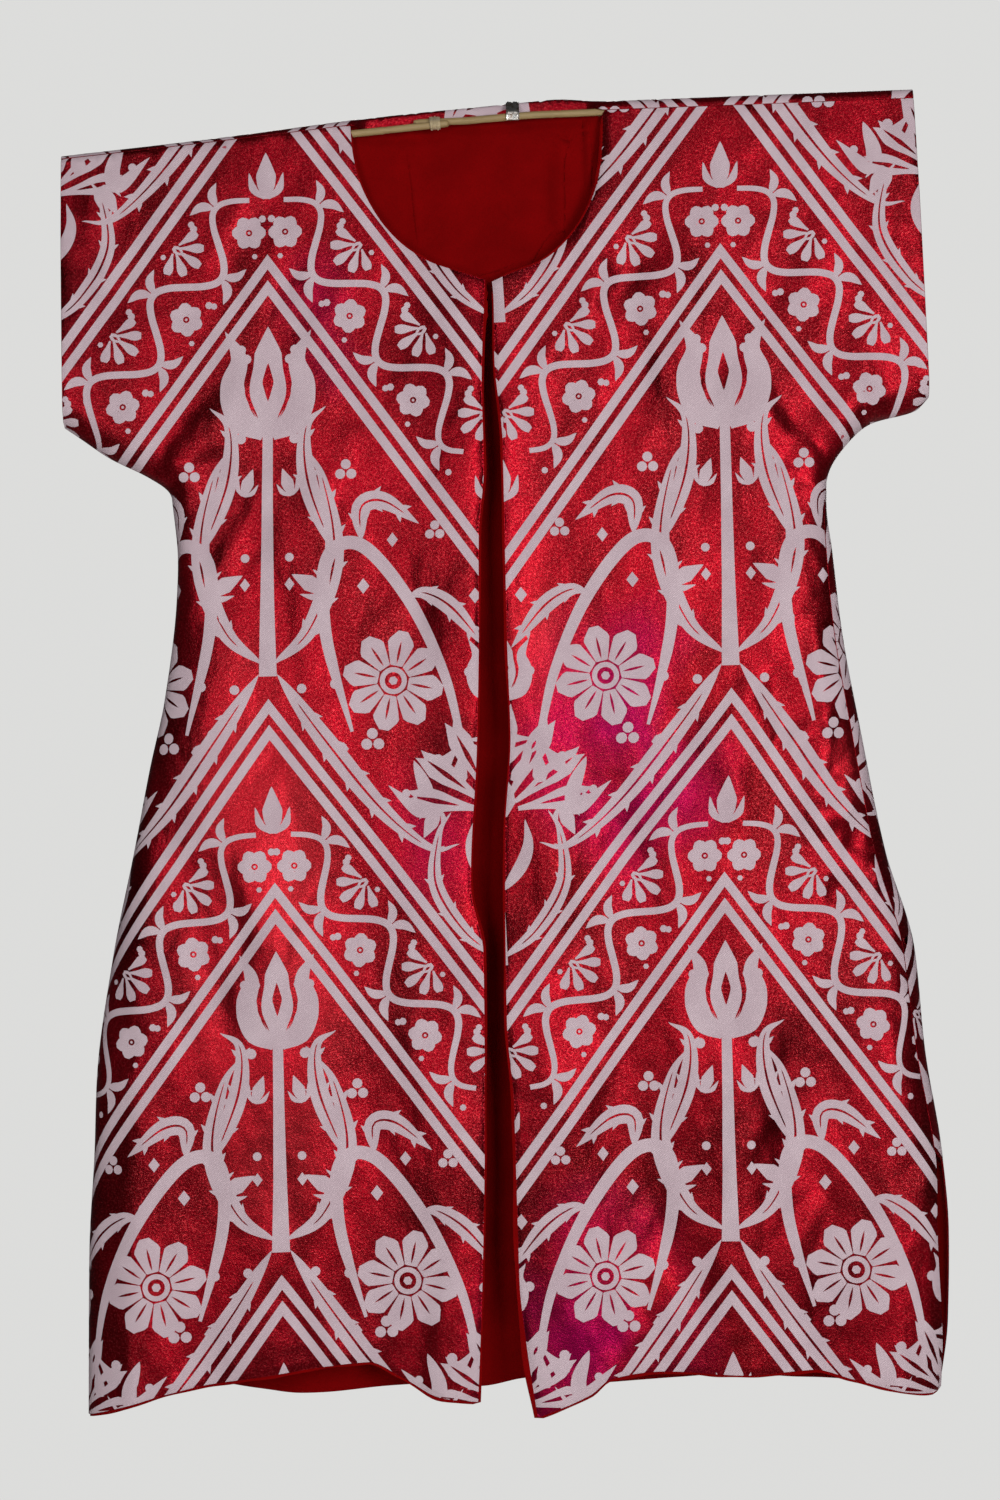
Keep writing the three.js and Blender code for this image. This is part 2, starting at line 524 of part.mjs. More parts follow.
/** A closed body of cloth between two depths below the panel's outer face. */
function layer(panel, from, to) {
  const rim = rimOf(panel.faces);
  const pull = new Map();
  for (const [a, b] of rim) {
    if (!isSeam(a) || !isSeam(b)) continue;
    const e = vec(b).sub(vec(a)).normalize();
    for (const name of [a, b]) {
      const inward = normals.get(name).clone().cross(e).normalize();
      pull.set(name, (pull.get(name) ?? new THREE.Vector3()).add(inward));
    }
  }
  const position = [];
  const index = new Map();
  const corner = (name, d) => {
    const key = `${name}@${d}`;
    if (!index.has(key)) {
      const p = vec(name).addScaledVector(normals.get(name), -d);
      if (pull.has(name)) p.addScaledVector(pull.get(name).clone().normalize(), CLOTH.seamGap * 0.5);
      index.set(key, position.length / 3);
      position.push(p.x, p.y, p.z + DATUM);
    }
    return index.get(key);
  };
  const triangles = [];
  for (const [a, b, c] of panel.faces) {
    triangles.push(corner(a, from), corner(b, from), corner(c, from));
    triangles.push(corner(a, to), corner(c, to), corner(b, to));
  }
  for (const [a, b] of rim) {
    const [ao, bo, ai, bi] = [corner(a, from), corner(b, from), corner(a, to), corner(b, to)];
    triangles.push(ao, ai, bo, bo, ai, bi);
  }
  const geometry = new THREE.BufferGeometry();
  geometry.setAttribute('position', new THREE.Float32BufferAttribute(position, 3));
  geometry.setIndex(triangles);
  return geometry;
}

// ---------------------------------------------------------------- sticks, lashing, clip
/** A round bar through {x, y, z, r} rows. */
function bar(rows, sides) {
  const position = [];
  const triangles = [];
  rows.forEach((row, i) => {
    const before = rows[Math.max(0, i - 1)];
    const after = rows[Math.min(rows.length - 1, i + 1)];
    const t = new THREE.Vector3(after.x - before.x, after.y - before.y, after.z - before.z).normalize();
    const u = new THREE.Vector3(0, 0, 1).cross(t).normalize();
    const w = t.clone().cross(u);
    for (let k = 0; k < sides; k += 1) {
      const a = (2 * Math.PI * k) / sides;
      const p = new THREE.Vector3(row.x, row.y, row.z + DATUM)
        .addScaledVector(u, row.r * Math.cos(a)).addScaledVector(w, row.r * Math.sin(a));
      position.push(p.x, p.y, p.z);
    }
  });
  const ring = (i, k) => i * sides + (k % sides);
  for (let i = 0; i + 1 < rows.length; i += 1) {
    for (let k = 0; k < sides; k += 1) {
      triangles.push(ring(i, k), ring(i, k + 1), ring(i + 1, k + 1), ring(i, k), ring(i + 1, k + 1), ring(i + 1, k));
    }
  }
  for (let k = 1; k + 1 < sides; k += 1) {
    triangles.push(ring(0, 0), ring(0, k + 1), ring(0, k));
    const e = rows.length - 1;
    triangles.push(ring(e, 0), ring(e, k), ring(e, k + 1));
  }
  const geometry = new THREE.BufferGeometry();
  geometry.setAttribute('position', new THREE.Float32BufferAttribute(position, 3));
  geometry.setIndex(triangles);
  return geometry;
}
const STICK_LEFT = [
  { x: -368, y: 0.0, z: -30.2, r: 2.9 }, { x: -364, y: 0.0, z: -29.8, r: 3.2 },
  { x: -236, y: 0.0, z: -19.3, r: 3.3 }, { x: -110, y: -1.6, z: -8.7, r: 3.3 },
  { x: -64, y: -3.4, z: -5.2, r: 3.2 }, { x: -30, y: -3.5, z: -2.2, r: 3.1 },
  { x: -26, y: -3.5, z: -1.8, r: 2.6 },
];
const STICK_RIGHT = [
  { x: -57, y: 3.4, z: 1.0, r: 1.7 }, { x: -52, y: 3.4, z: 1.0, r: 2.7 },
  { x: -40, y: 3.4, z: 0.8, r: 3.1 }, { x: -15, y: 3.0, z: 0.8, r: 3.2 },
  { x: 12, y: 0.0, z: 2.0, r: 3.2 }, { x: 43, y: 0.0, z: 3.6, r: 3.2 },
  { x: 109, y: 0.0, z: 5.2, r: 3.2 }, { x: 250, y: 0.0, z: 8.6, r: 3.1 },
  { x: 383, y: 0.0, z: 11.0, r: 3.0 }, { x: 386, y: 0.0, z: 11.0, r: 2.6 },
];

/** A closed band round both sticks, as a taut cord would lie: a stadium ring. */
function lashing() {
  const span = { from: -42.5, to: -33.0 };
  const left = { y: -3.45, z: -2.9 };
  const right = { y: 3.4, z: 0.8 };
  const inner = 3.9;
  const wall = 0.9;
  const steps = 18;                                     // points round each stick
  const tilt = Math.atan2(right.z - left.z, right.y - left.y);
  const ring = [];
  for (const [centre, start] of [[right, tilt - Math.PI / 2], [left, tilt + Math.PI / 2]]) {
    for (let k = 0; k <= steps; k += 1) ring.push({ centre, a: start + (Math.PI * k) / steps });
  }
  const position = [];
  const triangles = [];
  for (const { centre, a } of ring) {
    for (const [x, r] of [[span.from, inner], [span.to, inner], [span.to, inner + wall], [span.from, inner + wall]]) {
      position.push(x, centre.y + r * Math.cos(a), centre.z + r * Math.sin(a) + DATUM);
    }
  }
  for (let k = 0; k < ring.length; k += 1) {
    for (let m = 0; m < 4; m += 1) {
      const next = ((k + 1) % ring.length) * 4;
      const [a, b] = [k * 4 + m, k * 4 + ((m + 1) % 4)];
      const [c, d] = [next + m, next + ((m + 1) % 4)];
      triangles.push(a, b, d, a, d, c);
    }
  }
  const geometry = new THREE.BufferGeometry();
  geometry.setAttribute('position', new THREE.Float32BufferAttribute(position, 3));
  geometry.setIndex(triangles);
  return geometry;
}

/** Folded spring clip: a strip bent over the folded neck edge and down over the stick. */
function clip() {
  const size = { x: 32.2, width: 11.8, sheet: 0.8 };
  // outer line of the bent strip, front end to back end
  const line = [
    { y: -4.3, z: -0.8 }, { y: -4.6, z: 6.2 }, { y: -2.2, z: 10.5 }, { y: 4.6, z: 15.6 },
    { y: 6.8, z: 17.3 }, { y: 10.6, z: 17.9 }, { y: 14.6, z: 16.6 }, { y: 16.6, z: 14.0 },
    { y: 16.6, z: 5.0 },
  ];
  const shape = new THREE.Shape();
  const inner = [];
  line.forEach((p, i) => {
    const a = line[Math.max(0, i - 1)];
    const b = line[Math.min(line.length - 1, i + 1)];
    const len = Math.hypot(b.y - a.y, b.z - a.z);
    inner.push({ y: p.y + (size.sheet * (b.z - a.z)) / len, z: p.z - (size.sheet * (b.y - a.y)) / len });
    if (i === 0) shape.moveTo(p.y, p.z); else shape.lineTo(p.y, p.z);
  });
  inner.reverse().forEach((p) => shape.lineTo(p.y, p.z));
  const geometry = new THREE.ExtrudeGeometry(shape, { depth: size.width, bevelEnabled: false });
  // extruded along +Z of the sketch; turn sketch (y, z) into the YZ plane
  geometry.applyMatrix4(new THREE.Matrix4().set(
    0, 0, 1, size.x - size.width / 2,
    1, 0, 0, 0,
    0, 1, 0, DATUM,
    0, 0, 0, 1,
  ));
  return geometry;
}

// ---------------------------------------------------------------- assembly
const group = new THREE.Group();
group.name = 'talismanic_shirt';
function addPiece(name, geometry, colour, roughness = 0.8, metalness = 0) {
  const material = new THREE.MeshStandardMaterial({ color: colour, roughness, metalness });
  material.name = `${name}_material`;
  const mesh = new THREE.Mesh(geometry, material);
  mesh.name = name;
  group.add(mesh);
}
const SATIN = 0xb01722;
const LINING = 0x7c0d10;
const liningFrom = CLOTH.outer + CLOTH.between;
for (const panel of PANELS) {
  addPiece(panel.name, layer(panel, 0, CLOTH.outer), SATIN, 0.45);
  addPiece(`${panel.name}_lining`, layer(panel, liningFrom, liningFrom + CLOTH.lining), LINING, 0.9);
}
addPiece('stick_left', bar(STICK_LEFT, 20), 0xb39a6b, 0.6);
addPiece('stick_right', bar(STICK_RIGHT, 20), 0xb39a6b, 0.6);
addPiece('lashing', lashing(), 0xc9b48a, 0.7);
addPiece('clip', clip(), 0x8a8a86, 0.3, 1);

export default group;
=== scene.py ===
"""Talismanic shirt hung on a lashed rod: the finish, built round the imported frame."""
from math import pi, cos, sin, hypot, atan2, radians
import bpy
import numpy as np
from mathutils import Matrix, Vector
from mathutils.geometry import delaunay_2d_cdt


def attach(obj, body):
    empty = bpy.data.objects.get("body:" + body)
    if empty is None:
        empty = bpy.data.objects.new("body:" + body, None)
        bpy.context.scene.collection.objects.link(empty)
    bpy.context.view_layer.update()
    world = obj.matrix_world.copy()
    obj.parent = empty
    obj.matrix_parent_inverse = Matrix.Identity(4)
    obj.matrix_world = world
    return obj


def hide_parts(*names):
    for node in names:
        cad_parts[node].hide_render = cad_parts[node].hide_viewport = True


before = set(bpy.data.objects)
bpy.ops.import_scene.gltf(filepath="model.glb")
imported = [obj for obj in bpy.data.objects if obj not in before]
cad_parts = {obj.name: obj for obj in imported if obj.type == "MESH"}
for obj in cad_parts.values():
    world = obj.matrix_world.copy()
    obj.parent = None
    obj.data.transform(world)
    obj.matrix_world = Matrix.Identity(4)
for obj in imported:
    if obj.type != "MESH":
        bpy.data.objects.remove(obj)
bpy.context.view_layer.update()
BODY = "root"
MM = 0.001
scene = bpy.context.scene

# ============================================================ sizes (millimetres)
DATUM = -1.4                        # the rod's axis stands 1.4 above the tables' zero
CLOTH = {"outer": 0.9, "between": 0.3, "lining": 0.6}
WRAP = {"radius": 8.0, "fall": 9.0}
ROUND = {"sleeve": 28.0, "body": 46.0}
UNDERARM_Z = -334.0

# x, z of the top line, depth of the shoulder seam under it
TOP_LEFT = [(-374, -24.0, 3.0), (-236, -11.3, 3.4), (-114, 2.0, 5.0)]
TOP_RIGHT = [(113, 13.5, 8.6), (250, 15.6, 9.0), (392, 17.4, 8.6)]
# x, z, centre, half, flap of the back neck edge folded forward
NECK_FOLD = [
    (-114, 2.0, 0.0, 8.0, 5.0), (-110, 2.6, 1.2, 7.2, 6.2), (-105, 3.4, 5.6, 4.4, 8.4), (-98, 4.6, 8.6, 3.2, 9.9),
    (-80, 6.6, 9.9, 2.9, 11.0), (-38, 10.4, 11.9, 2.9, 11.0), (0, 12.8, 10.8, 2.9, 11.0), (32, 15.2, 10.2, 2.9, 12.0),
    (75, 18.0, 9.9, 2.9, 12.0), (98, 16.0, 8.6, 3.2, 9.0), (105, 14.9, 5.4, 4.6, 7.8), (110, 14.1, 1.2, 7.0, 8.0),
    (113, 13.5, 0.0, 8.0, 8.6)]
# x, z
NECK_LEFT = [(3.6, -146), (-14, -140), (-45.5, -128.5), (-72, -110), (-94, -82), (-108, -50), (-113, -22), (-114, -3.0)]
NECK_RIGHT = [(10, -148), (26, -141), (53.5, -131), (76.5, -113.5), (97, -85), (108.5, -50), (112, -18), (113, 4.9)]
CENTRE_LEFT = [(3.6, -146), (-1.6, -250), (-1.3, -311), (-7.4, -375), (-9.6, -467), (-13.8, -566), (-22, -690),
               (-12.4, -748), (-14.8, -899), (-20.4, -1043), (-27.5, -1160)]
CENTRE_RIGHT = [(12.6, -148), (10.5, -217), (16, -293), (15.6, -467), (16.7, -551), (9.4, -648), (7.2, -812),
                (11.7, -884), (12.8, -1042), (17.3, -1095), (27, -1170)]
SLEEVE_LEFT = [(-282.8, -334), (-285, -329), (-302, -316), (-338, -297), (-364, -278.5), (-377.5, -269)]
SLEEVE_RIGHT = [(306.5, -334), (309, -325), (319, -308.5), (347, -283), (388, -272), (399.6, -261)]
# x, z, inset of the front's side seam
SIDE_LEFT = [(-282.8, -334, 0), (-278.7, -388, 0), (-280.5, -424, 0), (-293.4, -514, 0), (-308.5, -577, 0),
             (-323.7, -648, 0), (-346, -747, 0), (-363, -854, 0), (-366.5, -917, 0), (-373, -1007, 0), (-376.8, -1155, 0)]
SIDE_RIGHT = [(306.5, -334, 0), (306, -356, 2), (310, -394, 6), (317, -466, 8), (333, -565, 9.5), (351, -665, 11),
              (375.5, -755, 12), (382.7, -846, 9), (395.5, -936, 8), (400.5, -1008, 13), (398, -1089, 8), (388.5, -1155, 0)]
CUFF_LEFT = [(-374.2, -24), (-376.4, -152), (-377.5, -269)]
CUFF_RIGHT = [(392, 17.4), (395, -81), (399.6, -261)]
HEM_LEFT = [(-377, -1154), (-277, -1129), (-196, -1118), (-124, -1111), (-97, -1124), (-61, -1143), (-27, -1148)]
HEM_RIGHT = [(27, -1163), (74, -1144), (92, -1131), (137, -1126), (218, -1130), (272, -1127), (308, -1137),
             (380, -1152), (392, -1146)]
HEM_BACK = [(-377, -1146), (-277, -1134), (-187, -1145), (-79, -1140), (-25, -1144), (20, -1137), (74, -1142),
            (209, -1138), (263, -1142), (380, -1147), (390, -1140)]
# drop below the top line, stand-off of the front, of the back
HANG = [(9, 8, 8), (60, 12, 10.5), (150, 15.5, 13), (340, 19.5, 16), (600, 25, 20), (900, 30, 24), (1170, 34, 27)]
# z, left, right stand-off of the free edges of the side slits
VENT = [(-932, 0.0, 0.0), (-1010, 4, 2.5), (-1160, 9, 5)]
# side, x0, z0, x1, z1, width, height: the large folds, the same as the solid's
FOLDS = [
    ("front", -285, -335, -214, -235, 15, 5), ("front", -262, -400, -205, -300, 15, -4),
    ("front", -238, -470, -262, -760, 26, 4), ("front", -205, -600, -222, -1140, 34, 5),
    ("front", -112, -640, -110, -1150, 30, -5), ("front", -318, -860, -330, -1150, 24, 5),
    ("front", -14, -190, -28, -520, 34, 6), ("front", -120, -180, -96, -420, 26, -3),
    ("front", -40, -900, -52, -1150, 22, 5), ("front", 40, -560, 52, -1160, 26, 5),
    ("front", 118, -520, 128, -1130, 30, -5), ("front", 205, -640, 216, -1130, 32, 5),
    ("front", 292, -820, 300, -1140, 26, -5), ("front", 330, -520, 268, -575, 13, 3.5),
    ("front", 346, -622, 282, -640, 13, 3.5), ("front", 362, -712, 300, -700, 13, -3.5),
    ("front", 300, -330, 232, -240, 16, 4), ("front", 380, -30, 352, -210, 18, 3),
    ("front", 98, -60, 108, -230, 16, 4), ("back", -66, -26, -69, -190, 9, 2.5), ("back", 57, -24, 54, -200, 11, 3.5),
    ("back", -250, -420, -272, -1130, 36, 5), ("back", -150, -520, -158, -1140, 32, -5),
    ("back", -40, -420, -36, -1140, 34, 5), ("back", 74, -480, 84, -1140, 32, -5), ("back", 190, -430, 208, -1140, 34, 5),
    ("back", 298, -560, 320, -1140, 28, -4), ("back", -283, -336, -200, -220, 16, 4), ("back", 305, -334, 224, -226, 16, 4)]
# finer creases: side, x0, z0, x1, z1, width, height
CREASES = [
    ("front", -292, -318, -250, -262, 7, 1.6), ("front", -300, -330, -236, -300, 8, -1.8),
    ("front", -276, -372, -226, -330, 7, 1.4), ("front", -280, -430, -238, -410, 8, -1.3),
    ("front", -360, -120, -318, -168, 9, -1.5), ("front", -352, -60, -330, -130, 9, 1.3),
    ("front", -60, -215, -92, -300, 9, 1.4), ("front", -22, -245, -60, -330, 8, -1.5),
    ("front", -168, -60, -178, -210, 13, -1.4), ("front", -150, -300, -164, -520, 14, 1.6),
    ("front", -70, -420, -78, -640, 13, -1.5), ("front", -190, -400, -176, -560, 12, -1.3),
    ("front", -300, -640, -284, -760, 12, 1.4), ("front", -250, -780, -262, -960, 15, -1.7),
    ("front", -160, -760, -172, -1010, 15, 1.8), ("front", -76, -700, -70, -900, 13, 1.6),
    ("front", -196, -930, -182, -1120, 13, -1.6), ("front", -350, -760, -338, -900, 12, -1.4),
    ("front", -60, -1010, -84, -1148, 11, -1.7), ("front", -285, -990, -296, -1130, 12, 1.8),
    ("front", 322, -352, 262, -320, 8, 1.6), ("front", 312, -322, 268, -268, 8, -1.6),
    ("front", 320, -430, 282, -446, 7, -1.5), ("front", 330, -500, 296, -508, 7, 1.6),
    ("front", 338, -560, 300, -600, 8, -1.9), ("front", 352, -604, 318, -618, 6, 1.7),
    ("front", 360, -668, 318, -662, 7, -1.8), ("front", 372, -700, 340, -690, 6, 1.7),
    ("front", 382, -772, 334, -748, 8, 1.8), ("front", 380, -830, 340, -800, 8, -1.6),
    ("front", 386, -890, 350, -852, 9, 1.5), ("front", 76, -168, 62, -300, 11, -1.5),
    ("front", 40, -200, 30, -420, 13, 1.7), ("front", 150, -60, 158, -260, 14, 1.5),
    ("front", 196, -260, 190, -470, 14, -1.5), ("front", 250, -380, 240, -560, 13, 1.4),
    ("front", 84, -520, 78, -760, 13, -1.6), ("front", 160, -660, 170, -900, 15, 1.8),
    ("front", 250, -700, 262, -900, 14, -1.8), ("front", 72, -860, 80, -1120, 13, 1.7),
    ("front", 182, -900, 170, -1110, 14, -1.7), ("front", 250, -960, 262, -1120, 12, 1.8),
    ("front", 346, -960, 352, -1130, 11, 1.8), ("front", 336, -100, 322, -230, 11, -1.4),
    ("front", 16, -156, 19, -470, 13, 3.2), ("front", -12, -150, -14, -330, 15, 2.4), ("front", 47, -165, 44, -330, 12, -1.8),
    ("front", 372, -40, 362, -190, 9, -1.7), ("front", 300, -560, 286, -640, 9, 2.2), ("front", 326, -640, 306, -700, 8, -2.2),
    ("front", -340, -560, -300, -600, 8, 1.7), ("front", -352, -640, -320, -700, 9, -1.8),
    ("front", 338, -585, 316, -632, 6, 2.3), ("front", 350, -650, 336, -712, 6, 2.2), ("front", 290, -470, 302, -560, 7, 1.9),
    ("back", 8, -28, 3, -126, 13, 1.6), ("back", -22, -24, -26, -110, 9, -1.2),
    ("back", -300, -320, -240, -268, 8, -1.6), ("back", 318, -322, 262, -270, 8, -1.6),
    ("back", -110, -60, -130, -300, 14, 1.5), ("back", 120, -60, 140, -320, 14, -1.5),
    ("back", -210, -300, -200, -560, 15, -1.7), ("back", 0, -260, 10, -520, 15, 1.7),
    ("back", 130, -560, 140, -860, 15, 1.8), ("back", -100, -640, -96, -960, 14, 1.7),
    ("back", 20, -720, 26, -1050, 14, -1.8), ("back", 250, -640, 262, -940, 14, 1.8),
    ("back", -300, -700, -318, -1000, 14, -1.7), ("back", 340, -700, 348, -1000, 12, 1.6),
    ("back", -200, -820, -214, -1120, 14, 1.8), ("back", 150, -900, 160, -1130, 13, -1.8)]
# only the back's lining, seen through the neck; height is towards the front
INNER_CREASES = [
    (-100, -36, -92, -130, 6, 1.4), (-38, -60, -28, -150, 12, 1.6), (18, -76, 32, -88, 5, 1.6), (30, -24, 34, -70, 8, 1.4),
    (-74, -30, -60, -56, 6, 1.2), (60, -14, 78, -24, 3.6, 1.8)]
# laps of the loose lining: points along each, height, width of the slow side; it drops on the left of the line
LAPS = [
    ([(86, -6), (81, -22), (77, -34), (75.5, -50), (75.5, -76), (75, -100), (77, -117)], 3.6, 15),
    ([(100, 2), (100.5, -18), (101, -44), (99, -74), (95, -98)], 3.0, 9),
    ([(74, -92), (62, -103), (54, -112), (47, -124), (41, -137)], 2.4, 12),
    ([(38, -124), (20, -132), (2, -137), (-18, -139), (-36, -137)], 1.8, 14),
    ([(-2, -138), (4, -146), (12, -154)], 1.8, 8),
    ([(-54, -120), (-57, -84), (-60, -48), (-66, -16)], 1.1, 7)]
# x, y, z, radius along the sticks
STICK_LEFT = [(-368, 0.0, -30.2, 2.9), (-364, 0.0, -29.8, 3.2), (-236, 0.0, -19.3, 3.3), (-110, -1.6, -8.7, 3.3),
              (-64, -3.4, -5.2, 3.2), (-30, -3.5, -2.2, 3.1), (-26, -3.5, -1.8, 2.6)]
STICK_RIGHT = [(-57, 3.4, 1.0, 1.7), (-52, 3.4, 1.0, 2.7), (-40, 3.4, 0.8, 3.1), (-15, 3.0, 0.8, 3.2), (12, 0.0, 2.0, 3.2),
               (43, 0.0, 3.6, 3.2), (109, 0.0, 5.2, 3.2), (250, 0.0, 8.6, 3.1), (383, 0.0, 11.0, 3.0), (386, 0.0, 11.0, 2.6)]

# ============================================================ camera
EYE = (6.9, -3400.0, -567.8)        # level with the middle of the cloth
TILT = 0.02443                      # sine of the garment's lean in the picture
camera = bpy.data.objects.new("camera", bpy.data.cameras.new("camera"))
scene.collection.objects.link(camera)
camera.data.sensor_fit = "VERTICAL"
camera.data.sensor_height = 36.0
camera.data.lens = 36.0 * 3400.0 / 1350.0
camera.data.clip_start, camera.data.clip_end = 0.1, 60.0
c0, s0 = (1 - TILT * TILT) ** 0.5, TILT
camera.matrix_world = Matrix(((c0, s0, 0, EYE[0] * MM), (0, 0, -1, EYE[1] * MM), (-s0, c0, 0, EYE[2] * MM), (0, 0, 0, 1)))
scene.camera = camera
# ---- woven ornament (flat, millimetres) -----------------------------------
SLOPE = 1.355                       # rise of the zigzag for each unit across
REPEAT = 403.0                      # width of one repeat
HALF = REPEAT / 2
LINE = {"thick": 13.5, "gap": 9.8}  # upright sizes of the double line
PAIR = 2 * LINE["thick"] + LINE["gap"]
WHITE, RED = 1, 0
FINE = 0.8                          # spacing of outline points against the drawn steps


def path(points, n=28):
    """Smooth line through a few points."""
    p = np.asarray(points, float)
    if len(p) == 2:
        t = np.linspace(0, 1, n)[:, None]
        return p[0] * (1 - t) + p[1] * t
    ext = np.vstack([2 * p[0] - p[1], p, 2 * p[-1] - p[-2]])
    out = []
    seg = len(p) - 1
    m = max(4, n // seg)
    for k in range(seg):
        a, b, c, d = ext[k:k + 4]
        t = np.linspace(0, 1, m, endpoint=(k == seg - 1))[:, None]
        out.append(0.5 * (2 * b + (c - a) * t + (2 * a - 5 * b + 4 * c - d) * t ** 2
                          + (3 * b - a - 3 * c + d) * t ** 3))
    return np.vstack(out)


def evenly(line, step):
    seg = np.hypot(*np.diff(line, axis=0).T)
    s = np.concatenate([[0], np.cumsum(seg)])
    n = max(3, int(round(s[-1] / step)) + 1)
    t = np.linspace(0, s[-1], n)
    return np.column_stack([np.interp(t, s, line[:, 0]), np.interp(t, s, line[:, 1])])


def stroke(points, widths, step=4.0, blunt=False):
    """Band of changing width along a smooth line; widths are read evenly along it."""
    line = evenly(path(points, 60), step * FINE)
    t = np.gradient(line, axis=0)
    t /= np.hypot(t[:, 0], t[:, 1])[:, None]
    nrm = np.column_stack([-t[:, 1], t[:, 0]])
    f = np.linspace(0, 1, len(line))
    w = np.interp(f, np.linspace(0, 1, len(widths)), widths) / 2
    left, right = line + nrm * w[:, None], line - nrm * w[:, None]
    if not blunt:
        for e, sgn in ((0, -1), (-1, 1)):
            if w[e] < 1.2:
                left[e] = right[e] = line[e]
    ring = np.vstack([left, right[::-1]])
    keep = np.hypot(*(ring - np.roll(ring, 1, axis=0)).T) > 0.25
    return ring[keep]


def swell(kind, n=9):
    t = np.linspace(0, 1, n)
    if kind == "leaf":
        return np.sin(pi * t ** 0.8) ** 0.9
    if kind == "drop":
        return np.sin(pi * t ** 1.5) ** 0.8
    return np.sin(pi * t)


def leaf(points, width, vein=True, step=4.0, kind="leaf", teeth=0):
    w = np.maximum(swell(kind, 17) * width, 0.6)
    shapes = [(stroke(points, w, step), WHITE)]
    if teeth:
        line = evenly(path(points, 60), 1.5)
        t = np.gradient(line, axis=0)
        t /= np.hypot(t[:, 0], t[:, 1])[:, None]
        nrm = np.column_stack([-t[:, 1], t[:, 0]])
        f = np.linspace(0, 1, len(line))
        wl = np.interp(f, np.linspace(0, 1, 17), w) / 2
        for k in range(teeth):
            i = int(len(line) * (0.2 + 0.55 * k / max(1, teeth - 1)))
            for sgn in (-1, 1):
                base = line[i] + nrm[i] * sgn * wl[i] * 0.55
                a = base - t[i] * width * 0.16
                b = base + t[i] * width * 0.30
                tip = line[i] + nrm[i] * sgn * (wl[i] + width * 0.2) + t[i] * width * 0.46
                shapes.append((np.array([a, (a + tip) / 2 + nrm[i] * sgn * width * 0.05, tip, b]), WHITE))
    if vein:
        line = evenly(path(points, 60), 4)
        i0, i1 = int(len(line) * 0.14), max(int(len(line) * 0.86), 3)
        if i1 - i0 >= 3:
            shapes.append((stroke(line[i0:i1], [1.0, max(2.2, width * 0.13), 0.8], 5), RED))
    return shapes


def turned(shapes, at, angle, scale=1.0, flip=False):
    """Place shapes drawn upright from (0, 0): angle 0 keeps them upright, + turns left."""
    c, s = cos(radians(angle)), sin(radians(angle))
    out = []
    for ring, colour in shapes:
        r = ring * scale
        if flip:
            r = r * [-1, 1]
        out.append((np.column_stack([r[:, 0] * c - r[:, 1] * s + at[0], r[:, 0] * s + r[:, 1] * c + at[1]]), colour))
    return out


def disc(at, r, colour=WHITE, n=None):
    n = n or max(10, int(2 * pi * r / 3.0))
    a = np.arange(n) * 2 * pi / n
    return (np.column_stack([at[0] + r * np.cos(a), at[1] + r * np.sin(a)]), colour)


def tulip(size):
    """Upright tulip, foot at the origin, about `size` tall."""
    s = size / 100
    mid = stroke([(0, 4 * s), (0, 50 * s), (0, 100 * s)], np.array([10, 30, 40, 36, 20, 0.6]) * s, 4)
    side = stroke([(3 * s, 0), (25 * s, 14 * s), (33 * s, 44 * s), (27 * s, 70 * s), (40 * s, 96 * s)],
                  np.array([14, 24, 25, 20, 13, 0.6]) * s, 4)
    cut = stroke([(9 * s, 14 * s), (19 * s, 38 * s), (15 * s, 66 * s), (12 * s, 84 * s)],
                 np.array([0.8, 4.4, 4.6, 0.8]) * s, 5)
    eye = stroke([(0, 30 * s), (0, 48 * s), (0, 66 * s)], np.array([0.8, 11, 0.8]) * s, 4)
    flip = lambda r: r * [-1, 1]
    return [(mid, WHITE), (side, WHITE), (flip(side), WHITE), (cut, RED), (flip(cut), RED), (eye, RED)]


def rosette(r, petals=8, eye=True):
    """Open flower; a large one has parted, veined petals and a beaded eye."""
    shapes = []
    big = r > 30
    for k in range(petals):
        a = 360 / petals * (k + 0.5)
        w = np.array([0.24, 0.50, 0.64, 0.50, 0.20]) * r * 8 / petals * (0.93 if big else 1)
        shapes += turned([(stroke([(0, r * 0.30), (0, r * 0.66), (0, r)], w, 3.4, blunt=True), WHITE)], (0, 0), a)
    if big:
        for k in range(petals):
            a = 360 / petals * (k + 0.5)
            cut = stroke([(0, r * 0.34), (0, r * 0.58), (0, r * 0.80)], [0.8, 2.6, 0.8], 5)
            part = stroke([(0, r * 0.36), (0, r * 0.60), (0, r * 0.84)], [0.8, 2.2, 4.4], 6, blunt=True)
            shapes += turned([(cut, RED)], (0, 0), a) + turned([(part, RED)], (0, 0), a + 180 / petals)
    shapes.append(disc((0, 0), r * (0.27 if big else 0.34)))
    if eye:
        shapes.append(disc((0, 0), r * (0.17 if big else 0.20), RED))
        shapes.append(disc((0, 0), r * 0.09, WHITE, 6))
    return shapes


